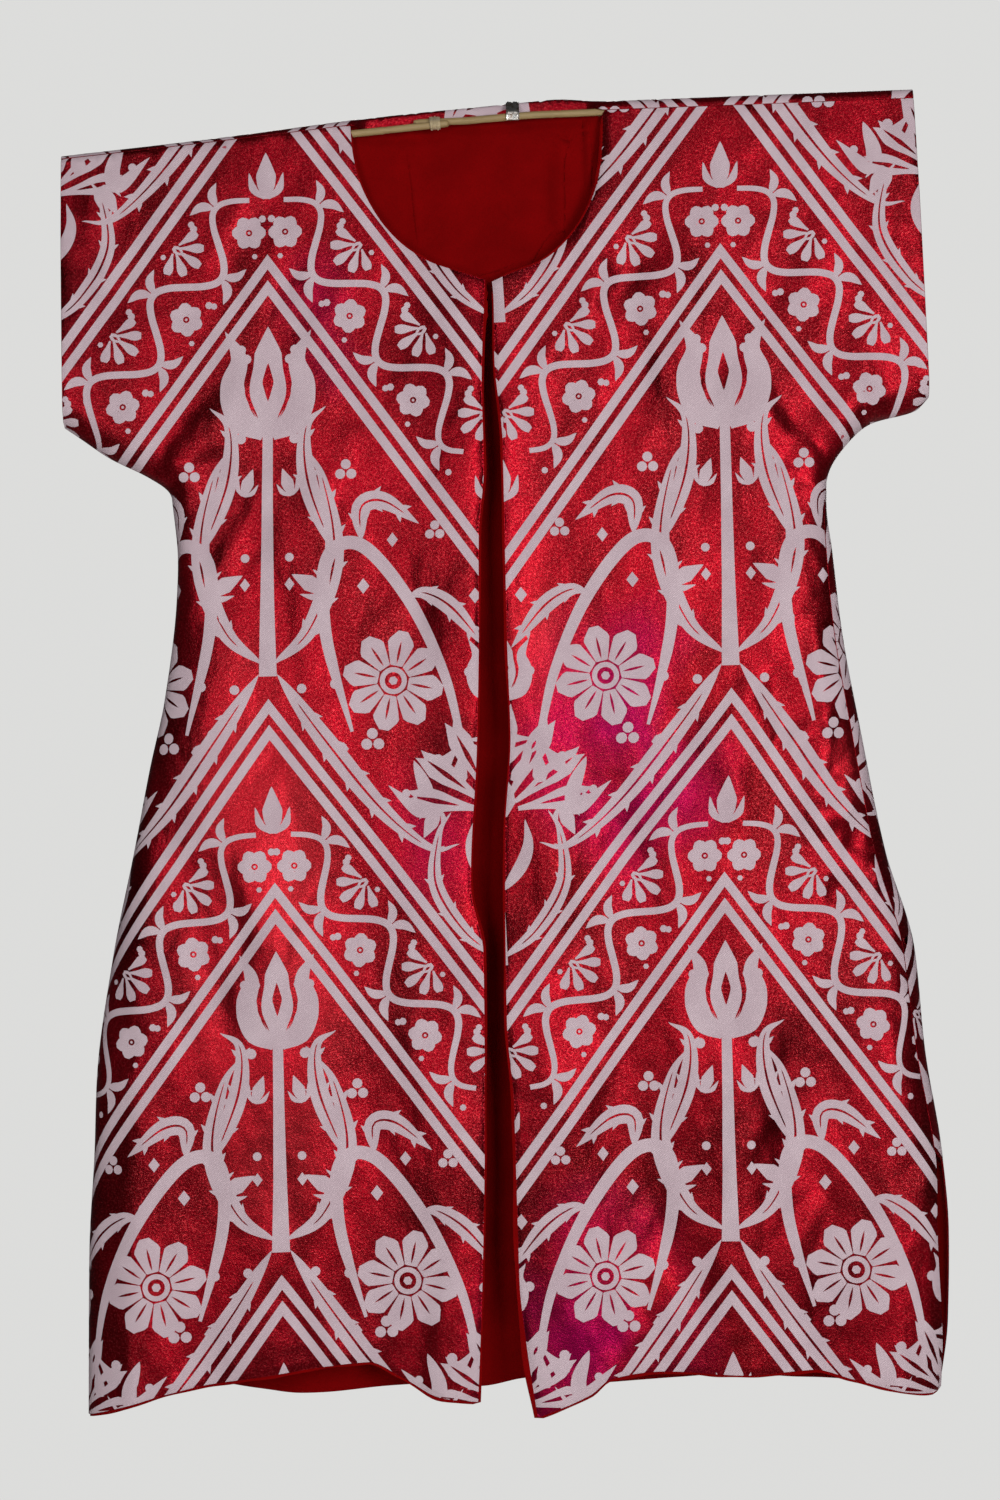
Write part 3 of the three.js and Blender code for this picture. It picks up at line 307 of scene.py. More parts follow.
def fan(size, lobes=7, spread=150, toothed=True):
    """Carnation or palmette head, foot at the origin, opening upward."""
    s = size / 100
    shapes = []
    for k in range(lobes):
        a = (k - (lobes - 1) / 2) * spread / (lobes - 1)
        long = (92 - abs(a) * 0.18) * s
        w = np.array([4, 7, 12, 19, 22, 13]) * s * (7 / lobes) ** 0.9
        petal = stroke([(0, 16 * s), (0, long * 0.6), (0, long)], w, 4, blunt=True)
        shapes += turned([(petal, WHITE)], (0, 0), -a)
        if s > 0.6:
            shapes += turned([(stroke([(0, 36 * s), (0, 60 * s), (0, 80 * s)], [0.8, 5.0 * s, 0.8], 5), RED)], (0, 0), -a)
        if toothed:
            tip = np.array([(-7, long / s - 3), (-4.4, long / s + 7), (0, long / s), (4.4, long / s + 7), (7, long / s - 3)]) * s
            shapes += turned([(tip, WHITE)], (0, 0), -a)
    shapes.append((stroke([(0, -4 * s), (0, 14 * s), (0, 34 * s)], np.array([12, 26, 20, 0.8]) * s, 4), WHITE))
    shapes.append((stroke([(0, 4 * s), (0, 14 * s), (0, 24 * s)], np.array([0.8, 8, 0.8]) * s, 4), RED))
    return shapes


def bud(size):
    s = size / 30
    return [(stroke([(0, 0), (0, 13 * s), (0, 30 * s)], np.array([3, 11, 13, 7, 0.6]) * s, 3.4), WHITE),
            (stroke([(1 * s, 1 * s), (8 * s, 6 * s), (11 * s, 17 * s)], np.array([3, 5, 0.6]) * s, 3.4), WHITE),
            (stroke([(-1 * s, 1 * s), (-8 * s, 6 * s), (-11 * s, 17 * s)], np.array([3, 5, 0.6]) * s, 3.4), WHITE)]


def lozenge(at, w, h):
    return (np.array([(at[0], at[1] + h / 2), (at[0] + w / 2, at[1]), (at[0], at[1] - h / 2), (at[0] - w / 2, at[1])]), WHITE)


def both(shapes):
    """The shapes and their mirror images about the upright axis."""
    return shapes + [(r * [-1, 1], c) for r, c in shapes]


def moved(shapes, du, dv):
    return [(r + [du, dv], c) for r, c in shapes]


def trefoil(at, r, gap=1.25):
    """Three balls, each with a hollow to one side."""
    out = []
    for a in (90, 210, 330):
        c = (at[0] + r * gap * cos(radians(a)), at[1] + r * gap * sin(radians(a)))
        out += [disc(c, r)] + ([disc((c[0] + r * 0.22, c[1] - r * 0.22), r * 0.42, RED, 7)] if r > 6 else [])
    return out


def cloud_stripe(points, width):
    """Wavy stripe with pointed ends."""
    return [(stroke(points, np.array([0.6, 0.62, 1.0, 0.9, 1.0, 0.62, 0.06]) * width, 4), WHITE)]


def wide_cell(H):
    """One repeat of a wide band. (0, 0) is the peak of its upper edge; H is its upright height."""
    k = H / 361.0
    at = lambda u, w: (u, -SLOPE * u + w * k)      # w = drop below the upper edge
    out = []
    # peak: tulip on a stem, with two long feathered leaves on each side
    out += [(stroke([(0, -H + 20), (0, -260 * k), (0, -118 * k)], [16, 12, 10, 9], 6), WHITE)]
    out += turned(tulip(96 * k), (0, -124 * k), 0)
    half = []
    half += leaf([(4, -H + 30), (38, -300 * k), (60, -236 * k), (50, -168 * k), (33, -136 * k)], 18, teeth=5)
    half += leaf([(8, -H + 22), at(48, -332), at(98, -330), at(140, -308), at(166, -270)], 19, teeth=5)
    # arm: large rosette held in the bow of a scrolling stem
    c = at(112, -196)
    half += turned(rosette(45, 8), c, 10)
    half += [(stroke([at(74, -292), at(52, -232), at(54, -164), at(84, -112), at(126, -104), at(158, -130), at(172, -172)],
                     [3, 10, 12, 12, 11, 9, 6], 4), WHITE)]
    half += turned(fan(46, 5, 132, False), at(173, -168), 205)
    half += leaf([at(58, -150), at(36, -118), at(34, -74), at(52, -30)], 17, teeth=3)
    half += leaf([at(84, -108), at(84, -78), at(104, -46), at(136, -24)], 17, teeth=3)
    half += leaf([at(126, -102), at(142, -78), at(166, -60), at(196, -56)], 16, teeth=3)
    half += turned(bud(34), at(52, -196), 62)
    half += leaf([at(128, -246), at(138, -262), at(132, -286), at(104, -300)], 14, vein=False)
    out += both(half)
    # valley: carnation on a stem between two curling leaves
    val = [(stroke([(0, 4), (0, 80 * k), (0, 158 * k)], [15, 11, 9, 9], 6), WHITE)]
    val += turned(fan(98 * k, 7, 156), (0, 140 * k), 0)
    vh = leaf([(3, 10), (34, 36), (58, 78), (54, 122), (42, 142)], 14, teeth=4)
    vh += leaf([(4, 70 * k), (20, 92 * k), (26, 112 * k), (22, 134 * k)], 12, vein=False)
    val += both(vh)
    base = -SLOPE * HALF - H + 26
    out += moved(val, HALF, base)
    out += turned(tulip(54 * k), (HALF, -SLOPE * HALF - 92 * k), 0)
    # small fillers
    fill = trefoil(at(24, -22), 4.4) + trefoil(at(70, -64), 4.6) + trefoil(at(150, -12), 4.2)
    fill += [disc(at(24, -96), 4.8), lozenge(at(86, -146), 11, 14), lozenge(at(112, -70), 10, 13), disc(at(180, -98), 4.6),
             lozenge(at(186, -22), 11, 14), disc(at(30, -312), 4.4), disc(at(150, -216), 4.8), lozenge(at(66, -318), 9, 12)]
    fill += trefoil(at(92, -276), 5.0) + turned(bud(30), at(148, -262), 152) + [disc(at(60, -268), 4.6), disc(at(120, -286), 3.8)]
    fill += turned(bud(26), at(22, -150), 20) + [disc(at(20, -208), 4.0), lozenge(at(20, -232), 9, 12)]
    out += both(fill)
    return out


def narrow_cell(H):
    """One repeat of a narrow band: a winding vine with leaves, rosettes and buds close together."""
    out = []
    at = lambda u, w: (u, -SLOPE * u + w)
    mid = -H / 2
    half = []
    # across the arm: n is the unit normal of the arm in the flat cloth
    long = hypot(1, SLOPE)
    n = np.array([SLOPE, 1.0]) / long
    t = np.array([1.0, -SLOPE]) / long
    reach = H / long * 0.5                       # half the clear width across the arm
    size = HALF * long
    o = np.array([0.0, mid])
    on = lambda s, d: o + t * s + n * d
    waves = 3
    s0, s1 = 26.0, size - 26.0
    s = np.linspace(s0, s1, 90)
    ph = (s - s0) / (s1 - s0) * waves * 2 * pi
    amp = reach * 0.50
    line = np.array([on(a, amp * sin(p)) for a, p in zip(s, ph)])
    half += [(stroke(line[::3], [4.5, 6.4, 6.4, 6.4, 6.4, 4.5], 4), WHITE)]
    step = (s1 - s0) / (waves * 2)
    for k in range(waves * 2):
        sc = s0 + (k + 0.5) * step
        up = 1 if k % 2 == 0 else -1
        crest = on(sc, amp * up)
        # in the hollow, across from the crest
        hollow = on(sc, -reach * 0.40 * up)
        if k % 2 == 0:
            half += turned(rosette(15.0, 6, True), hollow, 12 * k)
        else:
            half += turned(fan(31, 5, 140, False), on(sc + 2, -reach * 0.72 * up), -degrees_of(n * up))
        half += leaf([crest + n * up * 1, crest + n * up * 11 + t * 6, crest + n * up * 15 + t * 18], 8.5, vein=False, step=3.4)
        half += leaf([crest - t * 2, crest + n * up * 10 - t * 9, crest + n * up * 13 - t * 20], 8.0, vein=False, step=3.4)
        half += [disc(on(sc - step * 0.46, -reach * 0.62 * up), 3.4, WHITE, 7), disc(on(sc + step * 0.30, -reach * 0.80 * up), 2.6, WHITE, 6),
                 disc(on(sc + step * 0.5, reach * 0.72 * up), 3.0, WHITE, 7)]
    out += both(half)
    out += turned(bud(42), (0, mid - 20), 0)
    out += turned(bud(42), (HALF, -SLOPE * HALF + mid - 24), 0)
    return out


def degrees_of(v):
    """Angle that turns an upright shape to point along v."""
    return -atan2(v[0], v[1]) * 180 / pi * -1


def zigzag(top, span=2):
    """The double line whose upper edge peaks at height `top` on u = 0."""
    out = []
    us = np.arange(-2 * span, 2 * span + 1) * HALF
    for drop in (0.0, LINE["thick"] + LINE["gap"]):
        upper = np.array([(u, top - drop - SLOPE * (HALF if int(round(u / HALF)) % 2 else 0)) for u in us])
        lower = upper - [0, LINE["thick"]]
        out.append((np.vstack([dense(upper, 12), dense(lower[::-1], 12)]), WHITE))
    return out


def dense(line, step):
    out = [line[:1]]
    for a, b in zip(line[:-1], line[1:]):
        n = max(1, int(round(hypot(*(b - a)) / step)))
        out.append(a + (b - a) * (np.arange(1, n + 1)[:, None] / n))
    return np.vstack(out)


BANDS = [  # peaks of the double lines; `below` = band under each
    {"peak": 420.0, "below": "wide"}, {"peak": 58.0, "below": "narrow"}, {"peak": -118.5, "below": "wide"},
    {"peak": -517.0, "below": "narrow"}, {"peak": -681.0, "below": "wide"}, {"peak": -1030.0, "below": "narrow"},
    {"peak": -1194.0, "below": "wide"},
]


def cloth_pattern():
    shapes = []
    for k, b in enumerate(BANDS):
        shapes += zigzag(b["peak"])
        if k + 1 == len(BANDS):
            continue
        H = b["peak"] - PAIR - BANDS[k + 1]["peak"]
        cell = wide_cell(H) if b["below"] == "wide" else narrow_cell(H)
        for n in (-1, 0, 1):
            shapes += moved(cell, n * REPEAT, b["peak"] - PAIR)
    return shapes

# ============================================================ reading the tables
def read(rows, by, value, at):
    """Smooth monotone reading of a table, as the solids were drawn."""
    a = np.asarray(rows, float)
    if a[0, by] > a[-1, by]:
        a = a[::-1]
    xs, ys = a[:, by], a[:, value]
    h = np.diff(xs)
    d = np.diff(ys) / h
    m = np.empty(len(xs))
    m[0], m[-1] = d[0], d[-1]
    if len(xs) > 2:
        l, r = d[:-1], d[1:]
        with np.errstate(divide="ignore", invalid="ignore"):
            m[1:-1] = np.where(l * r <= 0, 0, 2 * l * r / (l + r))
    x = np.clip(np.asarray(at, float), xs[0], xs[-1])
    k = np.clip(np.searchsorted(xs, x, side="right") - 1, 0, len(h) - 1)
    t = (x - xs[k]) / h[k]
    return ((2 * t ** 3 - 3 * t * t + 1) * ys[k] + (t ** 3 - 2 * t * t + t) * m[k] * h[k]
            + (-2 * t ** 3 + 3 * t * t) * ys[k + 1] + (t ** 3 - t * t) * m[k + 1] * h[k])


def smooth(t):
    t = np.clip(t, 0, 1)
    return t * t * (3 - 2 * t)


def turn(t):
    return np.sqrt(np.maximum(0, 1 - (1 - np.clip(t, 0, 1)) ** 2))


def rounded(points, step=4.0):
    """Evenly spaced points of a smooth line through table points (x, z)."""
    p = np.asarray([q[:2] for q in points], float)
    s = np.concatenate([[0], np.cumsum(np.hypot(*np.diff(p, axis=0).T))])
    n = max(2, int(round(s[-1] / step)) + 1)
    t = np.linspace(0, s[-1], n)
    return np.column_stack([read(np.column_stack([s, p[:, 0]]), 0, 1, t), read(np.column_stack([s, p[:, 1]]), 0, 1, t)])


def top_z(x):
    x = np.asarray(x, float)
    return np.where(x <= -114, read(TOP_LEFT, 0, 1, x), np.where(x >= 113, read(TOP_RIGHT, 0, 1, x),
                                                                2.0 + (x + 114) / 227 * 11.5))


def seam_drop(x):
    x = np.asarray(x, float)
    return np.where(x < 0, read(TOP_LEFT, 0, 2, x), read(TOP_RIGHT, 0, 2, x))


def fold_rows(x):
    """z, centre, half, flap of the turn over the top at x."""
    x = np.asarray(x, float)
    side = (x <= -114) | (x >= 113)
    return (np.where(side, top_z(x), read(NECK_FOLD, 0, 1, x)), np.where(side, 0.0, read(NECK_FOLD, 0, 2, x)),
            np.where(side, 8.0, read(NECK_FOLD, 0, 3, x)), np.where(side, seam_drop(x), read(NECK_FOLD, 0, 4, x)))


# ============================================================ outlines
SIDE_Z = np.linspace(UNDERARM_Z, -1200, 217)
OUTLINE = {}
for name_, sleeve_, side_ in (("left", SLEEVE_LEFT, SIDE_LEFT), ("right", SLEEVE_RIGHT, SIDE_RIGHT)):
    OUTLINE[name_] = np.vstack([rounded(sleeve_)[::-1], np.column_stack([read(side_, 1, 0, SIDE_Z), SIDE_Z])[1:]])


def nearest(line, p, chunk=4000):
    """Distance from points p to an open polyline, the nearest points, and on which side they lie."""
    a, b = line[:-1], line[1:]
    ab = b - a
    L2 = (ab ** 2).sum(1)
    dist, foot, side, part = np.empty(len(p)), np.empty((len(p), 2)), np.empty(len(p)), np.empty(len(p), int)
    for i in range(0, len(p), chunk):
        q = p[i:i + chunk, None, :]
        t = np.clip(((q - a) * ab).sum(2) / L2, 0, 1)
        f = a + ab * t[..., None]
        d = ((q - f) ** 2).sum(2)
        k = d.argmin(1)
        r = np.arange(len(k))
        dist[i:i + chunk] = np.sqrt(d[r, k])
        foot[i:i + chunk] = f[r, k]
        v = p[i:i + chunk] - a[k]
        side[i:i + chunk] = np.sign(ab[k, 0] * v[:, 1] - ab[k, 1] * v[:, 0])
        part[i:i + chunk] = k
    return dist, foot, side, part


def edge_info(p):
    """Signed distance to the turned edge (+ inside), and the unit direction inward."""
    p = np.asarray(p, float)
    d = np.full(len(p), 999.0)
    n = np.zeros((len(p), 2))
    for label, sgn, lim in (("left", 1, -205.0), ("right", -1, 232.0)):
        near = (p[:, 0] < lim) if label == "left" else (p[:, 0] > lim)
        near &= p[:, 1] < -190
        if not near.any():
            continue
        line = OUTLINE[label]
        dist, foot, side, part = nearest(line, p[near])
        side = side * sgn
        v = (p[near] - foot) * side[:, None]
        v /= np.maximum(np.hypot(v[:, 0], v[:, 1]), 1e-9)[:, None]
        ab = line[part + 1] - line[part]
        own = np.column_stack([-ab[:, 1], ab[:, 0]]) * sgn / np.hypot(ab[:, 0], ab[:, 1])[:, None]
        v = np.where((dist < 0.6)[:, None], own, v)
        d[near] = dist * np.where(side == 0, 1, side)
        n[near] = v
    return d, n


def reach_at(z):
    return ROUND["sleeve"] + (ROUND["body"] - ROUND["sleeve"]) * smooth((-z - 340) / 160)


def troughs(table, side, x, z):
    total = np.zeros(len(x))
    for which, x0, z0, x1, z1, width, height in table:
        if which != side:
            continue
        dx, dz = x1 - x0, z1 - z0
        size = hypot(dx, dz)
        t = ((x - x0) * dx + (z - z0) * dz) / (size * size)
        # the lines of the finer creases wander a little, as a real fold does
        wander = width * 0.22 * np.sin(t * 5.1 + x0 * 0.07) + width * 0.10 * np.sin(t * 11.7 + z0 * 0.05)
        off = np.abs(((x - x0) * dz - (z - z0) * dx) / size + (wander if table is CREASES else 0))
        ends = smooth((t + 0.25) / 0.45) * (1 if z1 < -1100 else smooth((1.25 - t) / 0.45))
        total += height * np.exp(-((off / width) ** 2)) * ends
    return total


def ripple(x, z, seed):
    """Unevenness of hung satin: long upright waves of several widths, livelier in some places than others."""
    rng = np.random.default_rng(seed)
    total, patch = np.zeros(len(x)), np.zeros(len(x))
    for k in range(16):
        wide = 30 + 8 * k
        tall = wide * rng.uniform(1.8, 4.0)
        a, b = rng.uniform(0, 2 * pi, 2)
        lean = rng.uniform(-0.30, 0.30)
        total += (0.24 + 0.045 * k) * np.sin(2 * pi * (x + lean * z) / wide + a) * np.sin(2 * pi * z / tall + b)
    for k in range(7):
        size = 150 + 45 * k
        turn_ = rng.uniform(0, pi)
        patch += np.sin(2 * pi * (x * cos(turn_) + z * sin(turn_)) / size + rng.uniform(0, 2 * pi)) / 2.6
    return total * np.clip(0.85 + 0.75 * patch, 0.25, 1.9)


def hang_depth(side, x, z):
    drop = top_z(x) - z
    over = WRAP["radius"] * turn(drop / WRAP["fall"])
    hang = np.where(drop <= HANG[0][0], over, read(HANG, 0, 1 if side == "front" else 2, drop))
    folds = troughs(FOLDS, side, x, z) + troughs(CREASES, side, x, z) + ripple(x, z, 5 if side == "front" else 9)
    return hang + folds * smooth((drop - 14) / 50)


def depth(side, p, d=None):
    """Stand-off of the outer face from the middle plane at projected points p."""
    x, z = p[:, 0], p[:, 1]
    if d is None:
        d = np.abs(edge_info(p)[0])
    edge = turn(d / reach_at(z))
    gape = np.where(z < VENT[0][0], np.where(x < 0, read(VENT, 0, 1, z), read(VENT, 0, 2, z)), 0)
    return hang_depth(side, x, z) * edge + gape * (1 - edge)


# ============================================================ flat cloth <-> the place it hangs
FI = np.linspace(0, pi / 2, 49)


def arc_rows(k):
    """Running length of a quarter ellipse with half-axes 1 and k."""
    ds = np.sqrt(np.sin(FI) ** 2 + (k[:, None] * np.cos(FI)) ** 2)
    step = (ds[:, 1:] + ds[:, :-1]) / 2 * (FI[1] - FI[0])
    return np.concatenate([np.zeros((len(k), 1)), np.cumsum(step, axis=1)], axis=1)


def row_interp(xs, ys, at):
    """np.interp for a different table on each row."""
    i = np.clip((xs <= at[:, None]).sum(1) - 1, 0, xs.shape[1] - 2)
    r = np.arange(len(at))
    x0, x1 = xs[r, i], xs[r, i + 1]
    y0, y1 = ys[r, i], ys[r, i + 1]
    return y0 + (y1 - y0) * np.clip((at - x0) / np.maximum(x1 - x0, 1e-12), 0, 1)


def mean_depth(side, p):
    x, z = p[:, 0], p[:, 1]
    return read(HANG, 0, 1 if side == "front" else 2, top_z(x) - z)


def flat_to_place(side, q):
    """Where points of the flat pattern come to lie in the projected plane (negative side = wrapped round)."""
    q = np.asarray(q, float)
    s, n = edge_info(q)
    out = q.copy()
    R = reach_at(q[:, 1])
    m = s < R + 1
    if m.any():
        R, s, n = R[m], s[m], n[m]
        arc = arc_rows(mean_depth(side, q[m]) / R)
        extra = R * (arc[:, -1] - 1)
        a = s + extra
        d = row_interp(arc, np.broadcast_to(1 - np.cos(FI), arc.shape), np.abs(a) / R) * R * np.sign(a)
        out[m] += n * (d - s)[:, None]
    return out


def place_to_flat(side, p):
    s, n = edge_info(p)
    out = np.asarray(p, float).copy()
    R = reach_at(out[:, 1])
    m = np.abs(s) < R
    if m.any():
        R, s, n = R[m], s[m], n[m]
        arc = arc_rows(mean_depth(side, out[m]) / R)
        a = row_interp(np.broadcast_to(1 - np.cos(FI), arc.shape), arc, np.abs(s) / R) * R * np.sign(s)
        out[m] += n * (a - R * (arc[:, -1] - 1) - s)[:, None]
    return out


# ============================================================ free edges curl inward a little
def along_x(rows, x0, x1, step=4.0):
    x = np.linspace(x0, x1, max(2, int(abs(x1 - x0) / step) + 1))
    return np.column_stack([x, read(rows, 0, 1, x)])


def side_line(rows, label, z0, z1, inset=False, step=4.0):
    z = np.linspace(z0, z1, max(2, int(abs(z1 - z0) / step) + 1))
    x = read(rows, 1, 0, z)
    if inset:
        x = x - (1 if label == "right" else -1) * np.maximum(0, read(rows, 1, 2, z))
    return np.column_stack([x, z])


def meet_down(line, hem_rows):
    """A line going down, cut where it meets the hem."""
    gap = line[:, 1] - read(hem_rows, 0, 1, line[:, 0])
    k = np.argmax(gap < 0)
    t = gap[k - 1] / (gap[k - 1] - gap[k])
    return np.vstack([line[:k], line[k - 1] + (line[k] - line[k - 1]) * t])


def shoulder_line(label, step=4.0):
    x0, x1 = (-114, -374.2) if label == "left" else (113, 392.2)
    x = np.linspace(x0, x1, int(abs(x1 - x0) / step) + 1)
    return np.column_stack([x, top_z(x) - seam_drop(x)])


def front_edges(label):
    """The named edges of a front, going round from the neck down the centre edge."""
    L = label == "left"
    hem_rows = HEM_LEFT if L else HEM_RIGHT
    neck = rounded(NECK_LEFT if L else NECK_RIGHT, 3.5)
    centre = side_line(CENTRE_LEFT if L else CENTRE_RIGHT, label, neck[0, 1], -1200)
    centre[:, 0] += (neck[0, 0] - centre[0, 0]) * np.exp(-(neck[0, 1] - centre[:, 1]) / 18)
    centre = meet_down(centre, hem_rows)
    rows = SIDE_LEFT if L else SIDE_RIGHT
    x = read(rows, 1, 0, SIDE_Z) - (-1 if L else 1) * np.maximum(0, read(rows, 1, 2, SIDE_Z))
    side = meet_down(np.column_stack([x, SIDE_Z]), hem_rows)
    hem = along_x(hem_rows, centre[-1, 0], side[-1, 0])
    sleeve = rounded(SLEEVE_LEFT if L else SLEEVE_RIGHT)
    top = shoulder_line(label)
    top[0] = neck[-1]
    cuff_rows = CUFF_LEFT if L else CUFF_RIGHT
    z = np.linspace(sleeve[-1, 1], top[-1, 1], int((top[-1, 1] - sleeve[-1, 1]) / 4) + 1)
    cuff = np.column_stack([read(cuff_rows, 1, 0, z), z])
    cuff[0] = sleeve[-1]
    top[-1] = cuff[-1]
    return {"centre": centre, "hem": hem, "side": side[::-1], "sleeve": sleeve, "cuff": cuff,
            "shoulder": top[::-1], "neck": neck[::-1]}


FRONT_EDGES = {k: front_edges(k) for k in ("left", "right")}


def joined(edges):
    parts = [e[:-1] for e in edges]
    return np.vstack(parts)


def start_z(x):
    """Where the back's cloth begins to turn over the top."""
    z, _, half, _ = fold_rows(x)
    return z - np.where(half >= 7.9, WRAP["fall"], half * 1.1)


def over_table(x, n=25):
    """Path of the cloth over the top at each x: running length, y, z."""
    z, centre, half, flap = (v[:, None] for v in fold_rows(x))
    fall = np.where(half >= 7.9, WRAP["fall"], half * 1.1)
    q = np.linspace(-1, 1, n)[None, :]
    a_back = -q * pi / 2
    y_b, z_b = centre + half * np.sin(a_back), z - fall * (1 - np.cos(a_back))
    short = np.arccos(np.clip(1 - flap / fall, -1, 1)) * q
    a_long = np.minimum(1, q / 0.55) * pi / 2
    down = np.maximum(0, (q - 0.55) / 0.45) * np.maximum(0, flap - fall)
    a_f = np.where(flap <= fall, short, a_long)
    y_f = centre - half * np.sin(a_f)
    z_f = z - fall * (1 - np.cos(a_f)) - np.where(flap <= fall, 0, down)
    y, zz = np.where(q < 0, y_b, y_f), np.where(q < 0, z_b, z_f)
    s = np.concatenate([np.zeros((len(x), 1)), np.cumsum(np.hypot(np.diff(y, axis=1), np.diff(zz, axis=1)), axis=1)], 1)
    return s, y, zz


def over_length(x):
    return over_table(np.asarray(x, float))[0][:, -1]


class Line:
    """A set of lines to which short distances are measured quickly."""
    def __init__(self, lines, r):
        self.lines, self.r = lines, r
        dense = np.vstack([evenly(l, r * 0.4) for l in lines])
        self.lo = dense.min(0) - 2 * r
        size = np.ceil((dense.max(0) + 2 * r - self.lo) / r).astype(int) + 1
        self.near = np.zeros(size, bool)
        c = ((dense - self.lo) / r).astype(int)
        for a in (-1, 0, 1):
            for b in (-1, 0, 1):
                self.near[c[:, 0] + a, c[:, 1] + b] = True

    def far(self, p):
        """Distance, no more than r."""
        out = np.full(len(p), float(self.r))
        c = ((p - self.lo) / self.r).astype(int)
        ok = ((p >= self.lo).all(1)) & (c[:, 0] < self.near.shape[0]) & (c[:, 1] < self.near.shape[1])
        k = np.where(ok)[0]
        k = k[self.near[c[k, 0], c[k, 1]]]
        for line in self.lines:
            if len(k):
                out[k] = np.minimum(out[k], nearest(line, p[k])[0])
        return out


CURL = {"centre": (2.2, 8.0), "neck": (2.6, 10.0), "hem": (1.6, 7.0), "cuff": (1.4, 6.0)}   # how far, over what width
NECK_TURN = (3.2,)
SEAM_DIP = (1.1, 2.0)


def make_relief(edges, seams):
    """How much the cloth sinks at its curled free edges and along its seams."""
    def amount(k):
        if k == "neck":         # turned in further at the wearer's left side of the neck
            return lambda p: CURL[k][0] + NECK_TURN[0] * smooth((p[:, 0] - 78) / 22) * smooth((p[:, 1] + 92) / 40)
        return lambda p: CURL[k][0]
    curls = [(Line([edges[k]], CURL[k][1]), amount(k)) for k in CURL if k in edges]
    seam = Line(seams, 8.0)

    def relief(p):
        total = np.zeros(len(p))
        for line, deep in curls:
            total = np.maximum(total, deep(p) * (1 - turn(line.far(p) / line.r)))
        return total + SEAM_DIP[0] * np.exp(-(seam.far(p) / SEAM_DIP[1]) ** 2)
    return relief


RELIEF = {}


def laps(p):
    """Height of the lining's laps towards the front: a slow rise, then a sharp drop."""
    total = np.zeros(len(p))
    for points, high, wide in LAPS:
        line = evenly(path(points), 2.0)
        dist, foot, side, part = nearest(line, p)
        d = -dist * side
        rise = np.where(d > 0, smooth(1 - d / wide), 1 - smooth(-d / 1.7))
        ends = smooth(part / (0.28 * len(line))) * smooth((len(line) - 2 - part) / (0.28 * len(line)))
        total = np.maximum(total, high * rise * ends)
    return total


def lap_rows():
    """Points along both sides of the laps' sharp edges."""
    out = []
    for points, high, wide in LAPS:
        line = evenly(path(points), 3.2)
        t = np.gradient(line, axis=0)
        t /= np.hypot(t[:, 0], t[:, 1])[:, None]
        n = np.column_stack([t[:, 1], -t[:, 0]])
        out += [line + n * d for d in (-3.4, -1.8, -0.9, 0.0, 1.6, 3.6)]
    return np.vstack(out)


def place_front(p):
    p = np.asarray(p, float)
    d, n = edge_info(p)
    y = depth("front", p, np.abs(d))
    sink = np.zeros(len(p))
    for label, m in (("left", p[:, 0] < 4.5), ("right", p[:, 0] >= 4.5)):
        if m.any():
            sink[m] = RELIEF[label](p[m])
    return np.column_stack([p[:, 0], -np.maximum(y - sink * turn(np.abs(d) / 12), 0), p[:, 1]])


def place_back(p):
    """Back cloth: over the top above start_z, round to the front beyond the right outline."""
    p = np.asarray(p, float)
    x, w = p[:, 0], p[:, 1]
    z0 = start_z(x)
    main = w <= z0
    out = np.empty((len(p), 3))
    s, n = edge_info(p)
    inside = np.where((s < 0)[:, None], p + n * (-2 * s)[:, None], p)
    y = depth("back", inside, np.abs(s))
    start_y = fold_rows(x)[1] + fold_rows(x)[2]
    at_start = depth("back", np.column_stack([x, z0]), np.full(len(x), 999.0))
    y = np.maximum(y - RELIEF["back"](p) * turn(np.abs(s) / 12), 0)
    y = y + (start_y - at_start) * np.exp(-np.maximum(z0 - w, 0) / 45) * (np.abs(s) > 60)
    y_wrap = -depth("front", inside, np.abs(s))
    out[:, 0] = inside[:, 0]
    out[:, 1] = np.where(s < -0.25, y_wrap, y)
    out[:, 2] = inside[:, 1]
    m = ~main
    if m.any():
        S, Y, Z = over_table(x[m])
        t = w[m] - z0[m]
        yy, zz = row_interp(S, Y, t), row_interp(S, Z, t)
        out[m, 0], out[m, 1], out[m, 2] = x[m], yy, zz
    return out


def with_normals(place, p, outward):
    """Places and unit normals; points on a turned edge are read just inside it."""
    p = np.asarray(p, float)
    at = place(p)
    d, n = edge_info(p)
    low = np.abs(d) < 0.35
    q = p + np.where(low[:, None], n * (np.where(d < -0.2, -0.35, 0.35) - d)[:, None], 0)
    h = 0.2
    dx = place(q + [h, 0]) - place(q - [h, 0])
    dz = place(q + [0, h]) - place(q - [0, h])
    nrm = np.cross(dx, dz) * outward
    size = np.linalg.norm(nrm, axis=1)
    nrm /= np.maximum(size, 1e-9)[:, None]
    return at, nrm

# ============================================================ meshes
def ring_inside(ring, p):
    """Non-zero winding test of points p in a closed ring."""
    a, b = ring, np.roll(ring, -1, axis=0)
    wind = np.zeros(len(p), int)
    for i in range(0, len(p), 6000):
        q = p[i:i + 6000]
        up = (a[:, 1] <= q[:, 1:2]) & (b[:, 1] > q[:, 1:2])
        dn = (a[:, 1] > q[:, 1:2]) & (b[:, 1] <= q[:, 1:2])
        cross = (b[:, 0] - a[:, 0]) * (q[:, 1:2] - a[:, 1]) - (q[:, 0:1] - a[:, 0]) * (b[:, 1] - a[:, 1])
        wind[i:i + 6000] = (up & (cross > 0)).sum(1) - (dn & (cross < 0)).sum(1)
    return wind != 0


